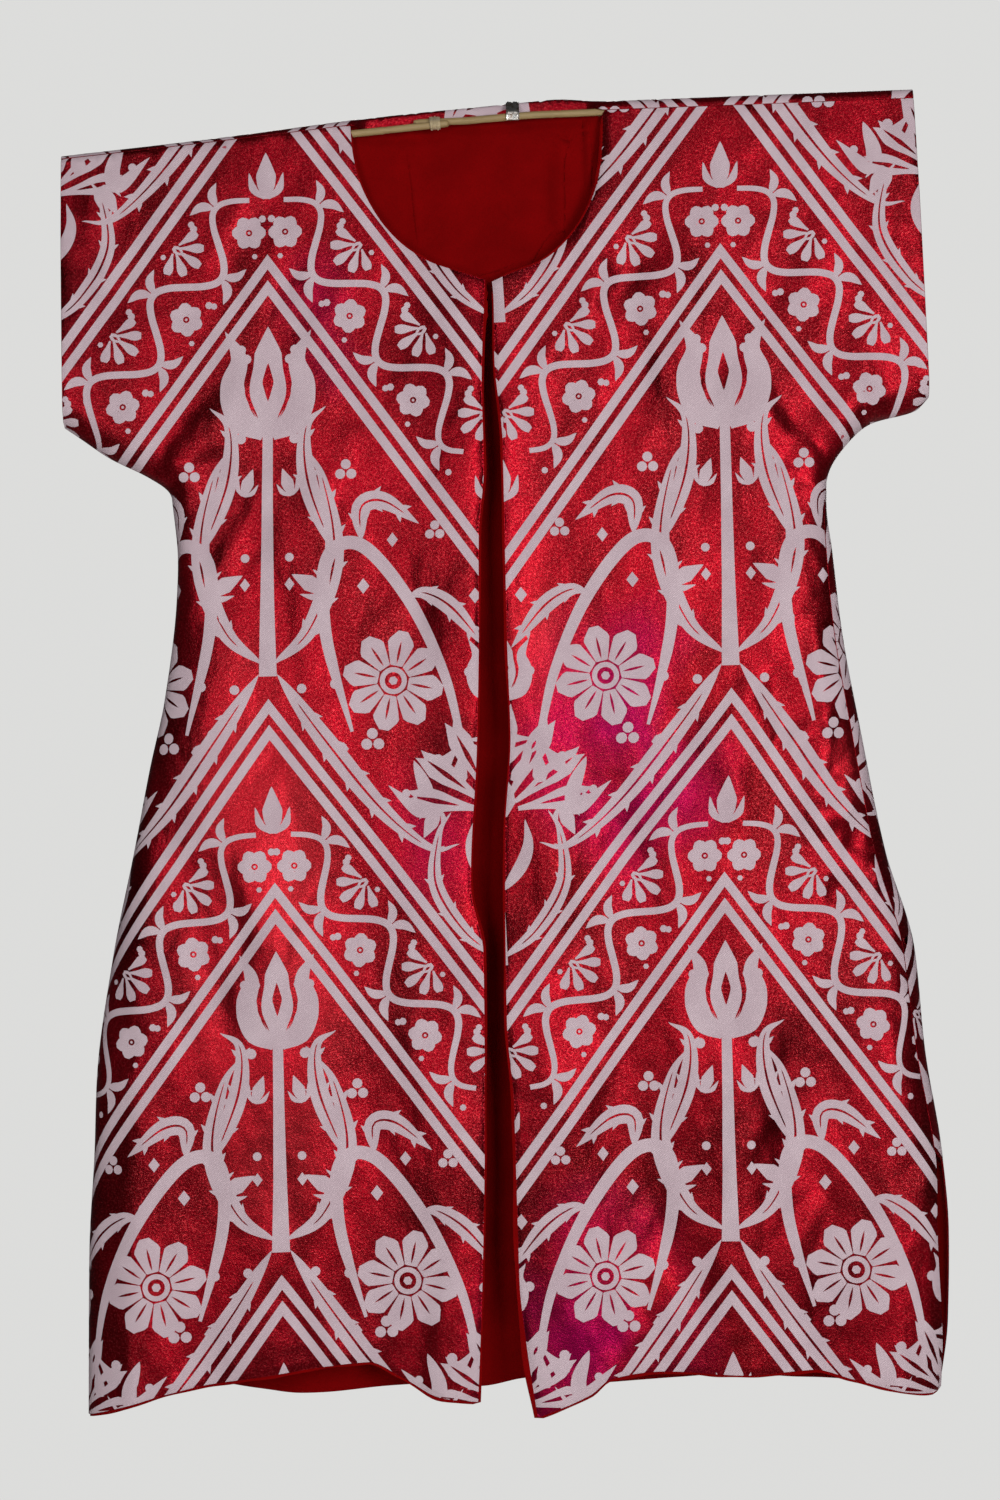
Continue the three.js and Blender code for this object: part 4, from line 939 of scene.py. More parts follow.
def shape_colours(shapes, cent, base=0):
    """Which colour the last shape over each point gives it."""
    colour = np.full(len(cent), base)
    order = np.argsort(cent[:, 1])
    ys = cent[order, 1]
    for ring, c in shapes:
        lo, hi = ring.min(0), ring.max(0)
        k = order[np.searchsorted(ys, lo[1]):np.searchsorted(ys, hi[1])]
        k = k[(cent[k, 0] >= lo[0]) & (cent[k, 0] <= hi[0])]
        if len(k):
            k = k[ring_inside(ring, cent[k])]
            colour[k] = c
    return colour


def boundary_loop(tris):
    """Directed edges used once, chained into one loop."""
    e = np.vstack([tris[:, [0, 1]], tris[:, [1, 2]], tris[:, [2, 0]]])
    key = {}
    for a, b in e.tolist():
        if (b, a) in key:
            del key[(b, a)]
        else:
            key[(a, b)] = True
    nxt = {}
    for a, b in key:
        nxt.setdefault(a, []).append(b)
    loops, used = [], set()
    for a in list(nxt):
        if a in used:
            continue
        loop = [a]
        used.add(a)
        b = nxt[a][0]
        while b != a and b not in used:
            loop.append(b)
            used.add(b)
            b = nxt[b][0]
        loops.append(loop)
    return max(loops, key=len), loops


def triangulate(loop, lines, rings, grid, extra=None, eps=0.02):
    """Triangles of the inside of `loop`, cut along every ring and line. Returns points and triangles."""
    verts = [loop]
    n = len(loop)
    edges = [(i, (i + 1) % n) for i in range(n)]
    for ring in rings:
        k = len(ring)
        verts.append(ring)
        edges += [(n + i, n + (i + 1) % k) for i in range(k)]
        n += k
    for line in lines:
        k = len(line)
        verts.append(line)
        edges += [(n + i, n + i + 1) for i in range(k - 1)]
        n += k
    fixed = np.vstack(verts)
    lo, hi = loop.min(0), loop.max(0)
    xs = np.arange(lo[0], hi[0], grid)
    zs = np.arange(lo[1], hi[1], grid * 0.866)
    g = np.array([(x + (grid / 2 if j % 2 else 0), z) for j, z in enumerate(zs) for x in xs])
    g = g[ring_inside(loop, g)]
    # keep the grid clear of the cut lines
    cell = 2.1
    seg = []
    for v in verts:
        w = np.vstack([v, v[:1]])
        seg += [w[:-1], w[:-1] * 0.5 + w[1:] * 0.5]
    taken = set(map(tuple, np.floor(np.vstack(seg) / cell).astype(int).tolist()))
    cells = np.floor(g / cell).astype(int)
    keep = np.ones(len(g), bool)
    for i, (a, b) in enumerate(cells.tolist()):
        for da in (-1, 0, 1):
            for db in (-1, 0, 1):
                if (a + da, b + db) in taken:
                    keep[i] = False
                    break
            if not keep[i]:
                break
    pts = [fixed, g[keep]]
    if extra is not None and len(extra):
        pts.append(extra)
    pts = np.vstack(pts)
    out = delaunay_2d_cdt([Vector(p) for p in pts.tolist()], edges, [], 0, eps)
    v = np.array([tuple(p) for p in out[0]])
    f = np.array(out[2], int)
    cent = v[f].mean(1)
    f = f[ring_inside(loop, cent)]
    area = np.cross(v[f[:, 1]] - v[f[:, 0]], v[f[:, 2]] - v[f[:, 0]])
    f = np.where((area < 0)[:, None], f[:, ::-1], f)
    used = np.unique(f)
    back = np.full(len(v), -1)
    back[used] = np.arange(len(used))
    return v[used], back[f]


def edge_rows(line, steps, n_in, lo=None):
    """Points in rows just inside a turned edge."""
    out = []
    for d, every in steps:
        out.append((line + n_in * d)[::every])
    return np.vstack(out)


def build(name, verts, faces, normals=None, mats=(), mat_ids=None, flat=None, smooth_all=True):
    me = bpy.data.meshes.new(name)
    me.from_pydata((np.asarray(verts) * MM).tolist(), [], [tuple(f) for f in faces])
    for m in mats:
        me.materials.append(m)
    if mat_ids is not None:
        me.polygons.foreach_set("material_index", np.asarray(mat_ids, np.int32))
    me.polygons.foreach_set("use_smooth", np.ones(len(me.polygons), bool) if smooth_all else np.zeros(len(me.polygons), bool))
    if flat is not None:
        uv = me.uv_layers.new(name="cloth")
        loops = np.empty(len(me.loops), np.int32)
        me.loops.foreach_get("vertex_index", loops)
        uv.data.foreach_set("uv", (np.asarray(flat)[loops] * MM * 1.0).astype(np.float32).ravel())
    me.validate()
    me.update()
    if normals is not None:
        me.normals_split_custom_set_from_vertices([Vector(n) for n in np.asarray(normals).tolist()])
    ob = bpy.data.objects.new(name, me)
    scene.collection.objects.link(ob)
    return ob


import time
T0 = time.perf_counter()


def tick(what):
    print("time %.1f %s" % (time.perf_counter() - T0, what))


def sheet_shell(name, loop, place, outward, flat_of, shapes, lines, grid, thick, lift, mats, extra=None, colours=True,
                inner_grid=11.0, inner_extra=None):
    """A thin closed shell of cloth: the outer face cut along the pattern, a plain inner face, a rounded rim."""
    rings = [r for r, c in shapes]
    p, f = triangulate(loop, lines, rings, grid, extra)
    tick(name + " cut")
    mat = shape_colours(shapes, p[f].mean(1)) if colours else np.zeros(len(f), int)
    loop_ids, loops = boundary_loop(f)
    tick("coloured")
    q, g = triangulate(p[loop_ids], [], [], inner_grid, inner_extra, eps=1e-4)
    # inner face: its first points are the outer face's own edge points
    tree = {tuple(np.round(v, 3)): i for i, v in enumerate(q)}
    tick("inner")
    at, nrm = with_normals(place, p, outward)
    tick("placed")
    at_o = at - nrm * lift
    at_q, nrm_q = with_normals(place, q, outward)
    at_i = at_q - nrm_q * (lift + thick)
    bp = p[loop_ids]
    bo, bn = at_o[loop_ids], nrm[loop_ids]
    # direction of the edge, read over a few millimetres so that cut strokes don't nick it
    ring = np.vstack([bo[-60:], bo, bo[:60]])
    run = np.concatenate([[0], np.cumsum(np.linalg.norm(np.diff(ring, axis=0), axis=1))])
    s_at = run[60:60 + len(bo)]
    tang = np.column_stack([np.interp(s_at + 2.6, run, ring[:, k]) - np.interp(s_at - 2.6, run, ring[:, k]) for k in range(3)])
    out = np.cross(tang, bn) * outward
    out /= np.maximum(np.linalg.norm(out, axis=1), 1e-9)[:, None]
    # the direction must point away from the cloth
    inner_ids = []
    miss = 0
    for v in bp:
        k = tree.get(tuple(np.round(v, 3)))
        if k is None:
            k = int(np.argmin(((q - v) ** 2).sum(1)))
            miss += 1
        inner_ids.append(k)
    inner_ids = np.array(inner_ids)
    mid = bo - bn * (thick * 0.5) + out * (thick * 0.42)
    n0, n1 = len(p), len(p) + len(q)
    verts = np.vstack([at_o, at_i, mid])
    normals = np.vstack([nrm, -nrm_q, out])
    faces = [tuple(t) if outward > 0 else tuple(t[::-1]) for t in f.tolist()]
    faces += [tuple(n0 + i for i in (t[::-1] if outward > 0 else t)) for t in g.tolist()]
    ids = list(mat) + [mats["inner"]] * len(g)
    m = len(loop_ids)
    for i in range(m):
        j = (i + 1) % m
        a, b = loop_ids[i], loop_ids[j]
        ma, mb = n1 + i, n1 + j
        ia, ib = n0 + inner_ids[i], n0 + inner_ids[j]
        rim = [(a, ma, mb, b), (ma, ia, ib, mb)]
        if ia == ib:
            rim[1] = (ma, ia, mb)
        for r in rim:
            faces.append(r if outward > 0 else r[::-1])
            ids.append(mats["rim"])
    flat = np.vstack([flat_of(p), flat_of(q), flat_of(bp)])
    tick("flat")
    ob = build(name, verts, faces, normals, mats["list"], ids, flat)
    tick("built")
    if miss or len(loops) > 1:
        print("note", name, "edge points unmatched", miss, "loops", [len(x) for x in loops])
    return ob

# ============================================================ materials
class Mat:
    """A small helper that wires procedural materials."""
    def __init__(self, name):
        self.m = bpy.data.materials.new(name)
        self.m.use_nodes = True
        self.t = self.m.node_tree
        self.p = self.t.nodes["Principled BSDF"]

    def node(self, kind, **inputs):
        n = self.t.nodes.new("ShaderNode" + kind)
        for k, v in inputs.items():
            if k.startswith("_"):
                setattr(n, k[1:], v)
            else:
                self.put(n.inputs[k.replace("_", " ")], v)
        return n

    def put(self, socket, v):
        if hasattr(v, "outputs"):
            v = v.outputs[0]
        if hasattr(v, "links"):
            self.t.links.new(v, socket)
        else:
            socket.default_value = v

    def math(self, op, a, b=0.0, c=0.0):
        n = self.t.nodes.new("ShaderNodeMath")
        n.operation = op
        for s, v in zip(n.inputs, (a, b, c)):
            self.put(s, v)
        return n.outputs[0]

    def mix(self, f, a, b):
        n = self.t.nodes.new("ShaderNodeMix")
        n.data_type = "RGBA"
        self.put(n.inputs["Factor"], f)
        self.put(n.inputs["A"], a if hasattr(a, "links") or hasattr(a, "outputs") else (*a, 1.0))
        self.put(n.inputs["B"], b if hasattr(b, "links") or hasattr(b, "outputs") else (*b, 1.0))
        return n.outputs["Result"]

    def ramp(self, f, lo, hi, out_lo=0.0, out_hi=1.0):
        n = self.t.nodes.new("ShaderNodeMapRange")
        n.clamp = True
        self.put(n.inputs["Value"], f)
        for k, v in (("From Min", lo), ("From Max", hi), ("To Min", out_lo), ("To Max", out_hi)):
            n.inputs[k].default_value = v
        return n.outputs["Result"]

    def flat(self, sx=1.0, sy=1.0, turn=0.0):
        """Cloth coordinates in millimetres times (sx, sy), turned by `turn` degrees."""
        uv = self.t.nodes.new("ShaderNodeUVMap")
        uv.uv_map = "cloth"
        n = self.t.nodes.new("ShaderNodeMapping")
        n.vector_type = "POINT"
        self.put(n.inputs["Vector"], uv.outputs[0])
        n.inputs["Rotation"].default_value = (0, 0, radians(turn))
        n.inputs["Scale"].default_value = (sx * 1000, sy * 1000, 1)
        return n.outputs[0]

    def place(self, s=1.0):
        tc = self.t.nodes.new("ShaderNodeTexCoord")
        n = self.t.nodes.new("ShaderNodeMapping")
        self.put(n.inputs["Vector"], tc.outputs["Object"])
        n.inputs["Scale"].default_value = (s * 1000,) * 3 if not hasattr(s, "__len__") else tuple(v * 1000 for v in s)
        return n.outputs[0]

    def noise(self, vec, scale=1.0, detail=2.0, rough=0.5):
        n = self.t.nodes.new("ShaderNodeTexNoise")
        self.put(n.inputs["Vector"], vec)
        n.inputs["Scale"].default_value = scale
        n.inputs["Detail"].default_value = detail
        n.inputs["Roughness"].default_value = rough
        return n.outputs["Fac"]

    def bump(self, height, distance, strength=1.0, normal=None):
        n = self.t.nodes.new("ShaderNodeBump")
        self.put(n.inputs["Height"], height)
        n.inputs["Distance"].default_value = distance * MM
        n.inputs["Strength"].default_value = strength
        if normal is not None:
            self.put(n.inputs["Normal"], normal)
        return n.outputs[0]

    def set(self, **kw):
        for k, v in kw.items():
            self.put(self.p.inputs[k.replace("_", " ")], v)
        return self.m


# tones of the painted shade and the painted highlight
PAINTED_SHADE_TONE, PAINTED_HIGHLIGHT_TONE = (0.030, 0.0001, 0.0010), (0.50, 0.0210, 0.0300)
PAINTED_LIGHT_POOLS = [  # painted shade and painted highlight: pools of darker and lighter colour fixed on the satin: x, z, half width, half height, tone, strength
    (-358, -150, 48, 110, PAINTED_SHADE_TONE, 0.8), (-47, -206, 54, 140, PAINTED_SHADE_TONE, 0.75), (-24, -162, 42, 55, PAINTED_SHADE_TONE, 0.6),
    (-47, -576, 26, 120, PAINTED_SHADE_TONE, 0.55), (249, -961, 32, 165, PAINTED_SHADE_TONE, 0.8), (292, -1079, 52, 68, PAINTED_SHADE_TONE, 0.8),
    (-60, -1107, 120, 44, PAINTED_SHADE_TONE, 0.5), (-204, -1104, 95, 38, PAINTED_SHADE_TONE, 0.45), (-322, -695, 24, 210, PAINTED_SHADE_TONE, 0.5),
    (234, -871, 52, 75, PAINTED_SHADE_TONE, 0.35), (-210, -740, 90, 320, PAINTED_HIGHLIGHT_TONE, 0.42), (180, -330, 90, 40, PAINTED_SHADE_TONE, 0.25),
    (40, -470, 30, 90, PAINTED_HIGHLIGHT_TONE, 0.35), (330, -590, 40, 60, PAINTED_HIGHLIGHT_TONE, 0.35)]


def red_satin():
    m = Mat("red_satin")
    grain_and_glint = m.noise(m.flat(0.44, 0.40), 1.0, 3.0, 0.7)           # the floats' grain, in bump and roughness, and as painted glints in the colour
    speck_and_glint = m.noise(m.flat(1.1, 1.0), 1.0, 1.0, 0.5)
    cloud = m.noise(m.flat(0.013, 0.008), 1.0, 3.0, 0.55)        # broad changes of tone
    dimple = m.noise(m.flat(0.060, 0.036), 1.0, 1.5, 0.45)       # slack between the folds
    uneven_dye = m.noise(m.place(0.012), 1.0, 2.0, 0.5)
    base = m.mix(m.ramp(cloud, 0.36, 0.60), (0.088, 0.0002, 0.0024), (0.235, 0.0010, 0.0072))
    # painted glints: the grain's low points darker, its high points and the specks lightened to pink highlights
    base = m.mix(m.ramp(grain_and_glint, 0.34, 0.49, 0.50, 0.0), base, (0.075, 0.0002, 0.0020))
    base = m.mix(m.ramp(grain_and_glint, 0.51, 0.68, 0.0, 0.46), base, (0.56, 0.032, 0.042))
    base = m.mix(m.ramp(speck_and_glint, 0.56, 0.72, 0.0, 0.24), base, (0.80, 0.13, 0.13))
    for x, z, size, much in ((118, -566, 115, 0.9), (78, -1105, 125, 0.8), (-140, -180, 60, 0.35), (-60, -640, 60, 0.3)):      # pinker where the dye is uneven
        far = m.t.nodes.new("ShaderNodeVectorMath")
        far.operation = "DISTANCE"
        m.put(far.inputs[0], m.place((1.0, 0.0, 0.75)))
        far.inputs[1].default_value = (x, 0, z * 0.75)
        near = m.ramp(far.outputs["Value"], size * 0.15, size, much, 0.0)
        base = m.mix(m.math("MULTIPLY", near, m.ramp(uneven_dye, 0.30, 0.62)), base, (0.235, 0.0006, 0.052))
    # painted shade and highlight: each pool mixes its tone into the base colour, stronger where the broad tone noise is
    # low
    for x, z, rx, rz, tone, much in PAINTED_LIGHT_POOLS:
        far = m.t.nodes.new("ShaderNodeVectorMath")
        far.operation = "DISTANCE"
        m.put(far.inputs[0], m.place((1 / rx, 0.0, 1 / rz)))
        far.inputs[1].default_value = (x / rx, 0, z / rz)
        near = m.math("MULTIPLY", m.ramp(far.outputs["Value"], 0.25, 1.0, much, 0.0), m.ramp(cloud, 0.62, 0.36, 0.45, 1.0))
        base = m.mix(near, base, tone)
    m.set(Base_Color=base, Metallic=0.82, Roughness=m.ramp(grain_and_glint, 0.3, 0.7, 0.38, 0.29), Anisotropic=0.2,
          Specular_IOR_Level=0.05)
    tan = m.t.nodes.new("ShaderNodeTangent")
    tan.direction_type, tan.uv_map = "UV_MAP", "cloth"
    m.put(m.p.inputs["Tangent"], tan.outputs[0])
    fine = m.bump(m.math("ADD", grain_and_glint, m.math("MULTIPLY", speck_and_glint, 0.4)), 0.58, 0.6)
    m.set(Normal=m.bump(dimple, 2.6, 0.7, fine))
    return m.m


def white_twill():
    m = Mat("white_twill")
    wave = m.t.nodes.new("ShaderNodeTexWave")
    wave.wave_type, wave.bands_direction, wave.wave_profile = "BANDS", "X", "SIN"
    m.put(wave.inputs["Vector"], m.flat(0.20, 0.20, 52))
    wave.inputs["Scale"].default_value = 1.0
    wave.inputs["Distortion"].default_value = 1.2
    wave.inputs["Detail"].default_value = 1.0
    cloud = m.noise(m.flat(0.03, 0.02), 1.0, 3.0, 0.55)
    fleck = m.noise(m.flat(1.3, 1.3), 1.0, 2.0, 0.6)
    base = m.mix(m.ramp(cloud, 0.35, 0.65), (0.58, 0.455, 0.50), (0.67, 0.54, 0.585))
    base = m.mix(m.ramp(wave.outputs["Fac"], 0.1, 0.5, 0.30, 0.0), base, (0.40, 0.21, 0.26))
    base = m.mix(m.ramp(fleck, 0.30, 0.48, 0.40, 0.0), base, (0.42, 0.23, 0.28))
    m.set(Base_Color=base, Roughness=0.78, Specular_IOR_Level=0.25, Sheen_Weight=0.15, Sheen_Roughness=0.5)
    m.set(Normal=m.bump(m.math("ADD", wave.outputs["Fac"], m.math("MULTIPLY", fleck, 0.5)), 0.16, 0.6))
    return m.m


def satin_reverse():
    m = Mat("satin_reverse")
    fleck = m.noise(m.flat(1.2, 0.8), 1.0, 2.0, 0.6)
    m.set(Base_Color=m.mix(m.ramp(fleck, 0.3, 0.7), (0.33, 0.03, 0.05), (0.50, 0.12, 0.15)), Roughness=0.8)
    m.set(Normal=m.bump(fleck, 0.15, 0.5))
    return m.m


def lining_cloth():
    m = Mat("lining_cloth")
    warp = m.noise(m.flat(1.9, 0.30), 1.0, 2.0, 0.6)
    weft = m.noise(m.flat(0.30, 1.9), 1.0, 2.0, 0.6)
    cloud = m.noise(m.flat(0.02, 0.02), 1.0, 3.0, 0.6)
    base = m.mix(m.ramp(cloud, 0.3, 0.7), (0.175, 0.0004, 0.0008), (0.23, 0.0006, 0.0012))
    thread = m.math("ADD", warp, weft)
    base = m.mix(m.ramp(thread, 0.75, 1.05, 0.35, 0.0), base, (0.10, 0.0004, 0.0006))
    m.set(Base_Color=base, Roughness=0.9, Specular_IOR_Level=0.04, Sheen_Weight=0.05, Sheen_Roughness=0.6,
          Sheen_Tint=(1.0, 0.05, 0.05, 1.0))
    m.set(Normal=m.bump(thread, 0.16, 0.6))
    return m.m


def reed():
    m = Mat("reed")
    fibre = m.noise(m.place((0.02, 1.6, 1.6)), 1.0, 4.0, 0.65)
    tone = m.noise(m.place((0.012, 0.05, 0.05)), 1.0, 3.0, 0.6)
    base = m.mix(m.ramp(fibre, 0.3, 0.7), (0.30, 0.19, 0.075), (0.52, 0.38, 0.18))
    base = m.mix(m.ramp(tone, 0.35, 0.7, 0.0, 0.6), base, (0.24, 0.17, 0.075))
    m.set(Base_Color=base, Roughness=m.ramp(fibre, 0.3, 0.7, 0.42, 0.6), Specular_IOR_Level=0.4)
    m.set(Normal=m.bump(fibre, 0.18, 0.6))
    return m.m


def thread():
    m = Mat("wound_thread")
    twist = m.t.nodes.new("ShaderNodeTexWave")
    twist.wave_type, twist.bands_direction = "BANDS", "DIAGONAL"
    m.put(twist.inputs["Vector"], m.place(0.9))
    twist.inputs["Scale"].default_value = 1.0
    base = m.mix(m.ramp(twist.outputs["Fac"], 0.2, 0.8), (0.42, 0.30, 0.15), (0.72, 0.60, 0.38))
    m.set(Base_Color=base, Roughness=0.5, Sheen_Weight=0.2)
    m.set(Normal=m.bump(twist.outputs["Fac"], 0.12, 0.7))
    return m.m


def steel():
    m = Mat("clip_steel")
    scratch = m.noise(m.place((2.2, 0.25, 0.25)), 1.0, 3.0, 0.6)
    tarnish = m.noise(m.place(0.22), 1.0, 4.0, 0.6)
    base = m.mix(m.ramp(tarnish, 0.42, 0.62), (0.62, 0.60, 0.57), (0.16, 0.105, 0.075))
    m.set(Base_Color=base, Metallic=1.0, Roughness=m.ramp(tarnish, 0.4, 0.65, 0.22, 0.5))
    m.set(Normal=m.bump(scratch, 0.08, 0.5, m.bump(tarnish, 0.25, 0.4)))
    return m.m


RED_SATIN, WHITE_TWILL, SATIN_REVERSE, LINING_CLOTH = red_satin(), white_twill(), satin_reverse(), lining_cloth()
REED, THREAD, STEEL = reed(), thread(), steel()

# ============================================================ the three panels and their linings
AXIS = {  # v, x of the axis of the peaks on each front
    "left": [(58, -190.0), (-118, -190.7), (-518, -199.0), (-681, -196.7), (-1025, -198.8), (-1200, -199.0)],
    "right": [(58, 221.0), (-119.5, 215.3), (-516, 214.9), (-680.6, 204.4), (-1033.7, 201.5), (-1200, 201.0)]}
BACK_AXIS = -192.5


def back_shift(x):
    """The back's pattern runs up over the top to the shoulder seam: how much higher it sits than on the front."""
    x = np.asarray(x, float)
    z = top_z(x)
    side_x = np.where(x < 0, np.minimum(x, -114), np.maximum(x, 113))
    t = over_length(side_x)
    seam = top_z(side_x) - seam_drop(side_x)
    own = start_z(side_x) + t - seam
    return own


SHIFT_X = np.linspace(-400, 420, 83)
SHIFT_RAW = back_shift(SHIFT_X)
SHIFT_Y = np.convolve(np.pad(SHIFT_RAW, 8, mode="edge"), np.ones(17) / 17, mode="valid")


def shift_at(x):
    return np.interp(x, SHIFT_X, SHIFT_Y)


def placed_shapes(panel, shapes, loop):
    """Pattern shapes in the panel's projected plane, only those that reach it."""
    out = []
    lo, hi = loop.min(0) - 2, loop.max(0) + 2
    sizes = [len(r) for r, c in shapes]
    allp = np.vstack([r for r, c in shapes])
    if panel == "back":
        q = allp + [BACK_AXIS, 0]
        q[:, 1] += shift_at(q[:, 0])
    else:
        q = allp.copy()
        q[:, 0] += read(AXIS[panel], 0, 1, allp[:, 1])
    pre = (q >= lo - 70).all(1) & (q <= hi + 70).all(1)
    moved_q = q.copy()
    moved_q[pre] = flat_to_place("back" if panel == "back" else "front", q[pre])
    at = 0
    for (ring, c), k in zip(shapes, sizes):
        r = moved_q[at:at + k]
        use = pre[at:at + k]
        at += k
        if not use.any():
            continue
        a, b = r.min(0), r.max(0)
        if (a > hi).any() or (b < lo).any():
            continue
        out.append((r, c))
    # drop shapes wholly outside the loop
    keep = []
    for r, c in out:
        if ring_inside(loop, r).any() or len(r) > 60:
            keep.append((r, c))
    return keep


def flat_front(label):
    def f(p):
        q = place_to_flat("front", p)
        q[:, 0] -= read(AXIS[label], 0, 1, q[:, 1])
        return q
    return f


def flat_back(p):
    q = place_to_flat("back", p)
    q[:, 1] -= shift_at(q[:, 0])
    q[:, 0] -= BACK_AXIS
    return q


TURN_ROWS = [(0.3, 1), (1.3, 1), (2.9, 1), (5.2, 2), (8.2, 2), (12.0, 2), (16.5, 2), (22.0, 2), (28.5, 2), (36.0, 2)]


def inward_rows(label, both_sides=False, z_low=-1200):
    """Grid points in rows along a turned outline."""
    line = OUTLINE[label]
    t = np.gradient(line, axis=0)
    t /= np.hypot(t[:, 0], t[:, 1])[:, None]
    n = np.column_stack([-t[:, 1], t[:, 0]]) * (1 if label == "left" else -1)
    out = []
    for d, every in TURN_ROWS:
        out.append((line + n * d)[::every])
        if both_sides and d < 13:
            out.append((line - n * d)[::every])
    return np.vstack(out)


def edge_grid(edges, keys, loop):
    """Rows of points just inside free edges, where the cloth curls."""
    out = []
    for k in keys:
        line = evenly(edges[k], 3.6)
        t = np.gradient(line, axis=0)
        t /= np.maximum(np.hypot(t[:, 0], t[:, 1]), 1e-9)[:, None]
        n = np.column_stack([-t[:, 1], t[:, 0]])
        for d, every in ((0.7, 1), (1.9, 1), (3.6, 1), (6.0, 2), (9.0, 2)):
            for sgn in (-1, 1):
                q = (line + n * d * sgn)[::every]
                out.append(q[ring_inside(loop, q)])
    return np.vstack(out)


def neck_grid(step):
    """Closer points where the back's lining is seen through the neck."""
    xs, zs = np.arange(-114, 115, step), np.arange(-156, -6, step * 0.866)
    return np.array([(x + (step / 2 if j % 2 else 0), z) for j, z in enumerate(zs) for x in xs])


def nearest_point(p, q):
    return np.array([np.hypot(*(q - v).T).min() for v in p])


def clip_points(pts, loop, clear=1.0):
    pts = pts[ring_inside(loop, pts)]
    far = nearest(np.vstack([loop, loop[:1]]), pts)[0]
    return pts[far > clear * 0.25]


def front_loop(label):
    e = FRONT_EDGES[label]
    loop = joined([e[k] for k in ("centre", "hem", "side", "sleeve", "cuff", "shoulder", "neck")])
    area = np.sum(loop[:, 0] * np.roll(loop[:, 1], -1) - np.roll(loop[:, 0], -1) * loop[:, 1])
    return loop if area > 0 else loop[::-1]


def grown(edge, amount, toward):
    """An edge moved out by `amount` (array) along its own normal, on the side of `toward`."""
    t = np.gradient(edge, axis=0)
    t /= np.maximum(np.hypot(t[:, 0], t[:, 1]), 1e-9)[:, None]
    n = np.column_stack([-t[:, 1], t[:, 0]])
    if (n.mean(0) * toward).sum() < 0:
        n = -n
    return edge + n * np.asarray(amount)[:, None]


def uneven(n, low, high, seed, waves=(2.3, 5.1, 9.7)):
    rng = np.random.default_rng(seed)
    t = np.linspace(0, 1, n)
    v = sum(np.sin(2 * pi * (w * t + rng.uniform())) / (1 + 0.3 * k) for k, w in enumerate(waves))
    v = (v - v.min()) / (np.ptp(v) + 1e-9)
    return low + (high - low) * v


def lining_loop(label):
    """The lining stands a little proud of the hem and the centre edge, unevenly."""
    e = {k: v.copy() for k, v in FRONT_EDGES[label].items()}
    side = -1 if label == "left" else 1
    n = len(e["centre"])
    fade = smooth(np.arange(n) / 8.0)
    far = uneven(n, 0.2, 2.2, 31 if label == "left" else 37)
    if label == "right":        # its lower part rolls open and shows more lining
        z = e["centre"][:, 1]
        far = far + 3.2 * np.exp(-((z + 990) / 60) ** 2) + 4.5 * np.exp(-((z + 1120) / 55) ** 2)
    else:
        z = e["centre"][:, 1]
        far = far + 3.5 * np.exp(-((z + 160) / 18) ** 2)
    e["centre"] = grown(e["centre"], far * fade, np.array([-side, 0]))
    n = len(e["hem"])
    e["hem"] = grown(e["hem"], uneven(n, 0.6, 3.0, 41 if label == "left" else 43), np.array([0, -1]))
    e["hem"][0] = e["centre"][-1]
    e["centre"] = e["centre"][:-1]
    n = len(e["neck"])
    e["neck"] = grown(e["neck"], uneven(n, 0.0, 1.0, 47) * smooth(np.minimum(np.arange(n), np.arange(n)[::-1]) / 6),
                      np.array([-side, 1]))
    e["side"][0] = e["hem"][-1]
    loop = joined([e[k] for k in ("centre", "hem", "side", "sleeve", "cuff", "shoulder", "neck")])
    loop = loop[np.hypot(*(loop - np.roll(loop, 1, axis=0)).T) > 0.5]
    area = np.sum(loop[:, 0] * np.roll(loop[:, 1], -1) - np.roll(loop[:, 0], -1) * loop[:, 1])
    return loop if area > 0 else loop[::-1]


def back_edges():
    """Outline of the back in its unrolled plane: wrapped round on the right, over the top above."""
    side_l = meet_down(np.column_stack([read(SIDE_LEFT, 1, 0, SIDE_Z), SIDE_Z]), HEM_BACK)
    out_r = np.column_stack([read(SIDE_RIGHT, 1, 0, SIDE_Z), SIDE_Z])
    # below the top of the slit the back ends at the outline itself
    out_r[:, 0] += np.maximum(0, read(SIDE_RIGHT, 1, 2, SIDE_Z)) * smooth((SIDE_Z - VENT[0][0] + 16) / 16)
    out_r = meet_down(out_r, HEM_BACK)
    hem = along_x(HEM_BACK, side_l[-1, 0], out_r[-1, 0])
    hem[0], hem[-1] = side_l[-1], out_r[-1]
    sl, sr = rounded(SLEEVE_LEFT), rounded(SLEEVE_RIGHT)
    xs = np.concatenate([np.linspace(-374.2, -116, 70), np.linspace(-114, -94, 14), np.linspace(-90, 90, 48),
                         np.linspace(94, 113, 14), np.linspace(116, 392.2, 74)])
    top = np.column_stack([xs, start_z(xs) + over_length(xs)])
    cuff = {}
    for label, s in (("left", sl), ("right", sr)):
        rows = CUFF_LEFT if label == "left" else CUFF_RIGHT
        end = top[0] if label == "left" else top[-1]
        z = np.linspace(s[-1, 1], end[1], int((end[1] - s[-1, 1]) / 4) + 1)
        line = np.column_stack([read(rows, 1, 0, z), z])
        line[0], line[-1] = s[-1], end
        cuff[label] = line
    return {"side_l": side_l, "hem": hem, "side_r": out_r[::-1], "sleeve_r": sr, "cuff_r": cuff["right"],
            "top": top[::-1], "cuff_l": cuff["left"][::-1], "sleeve_l": sl[::-1]}


BACK_EDGES = back_edges()


def back_loop():
    e = BACK_EDGES
    return joined([e[k] for k in ("side_l", "hem", "side_r", "sleeve_r", "cuff_r", "top", "cuff_l", "sleeve_l")])


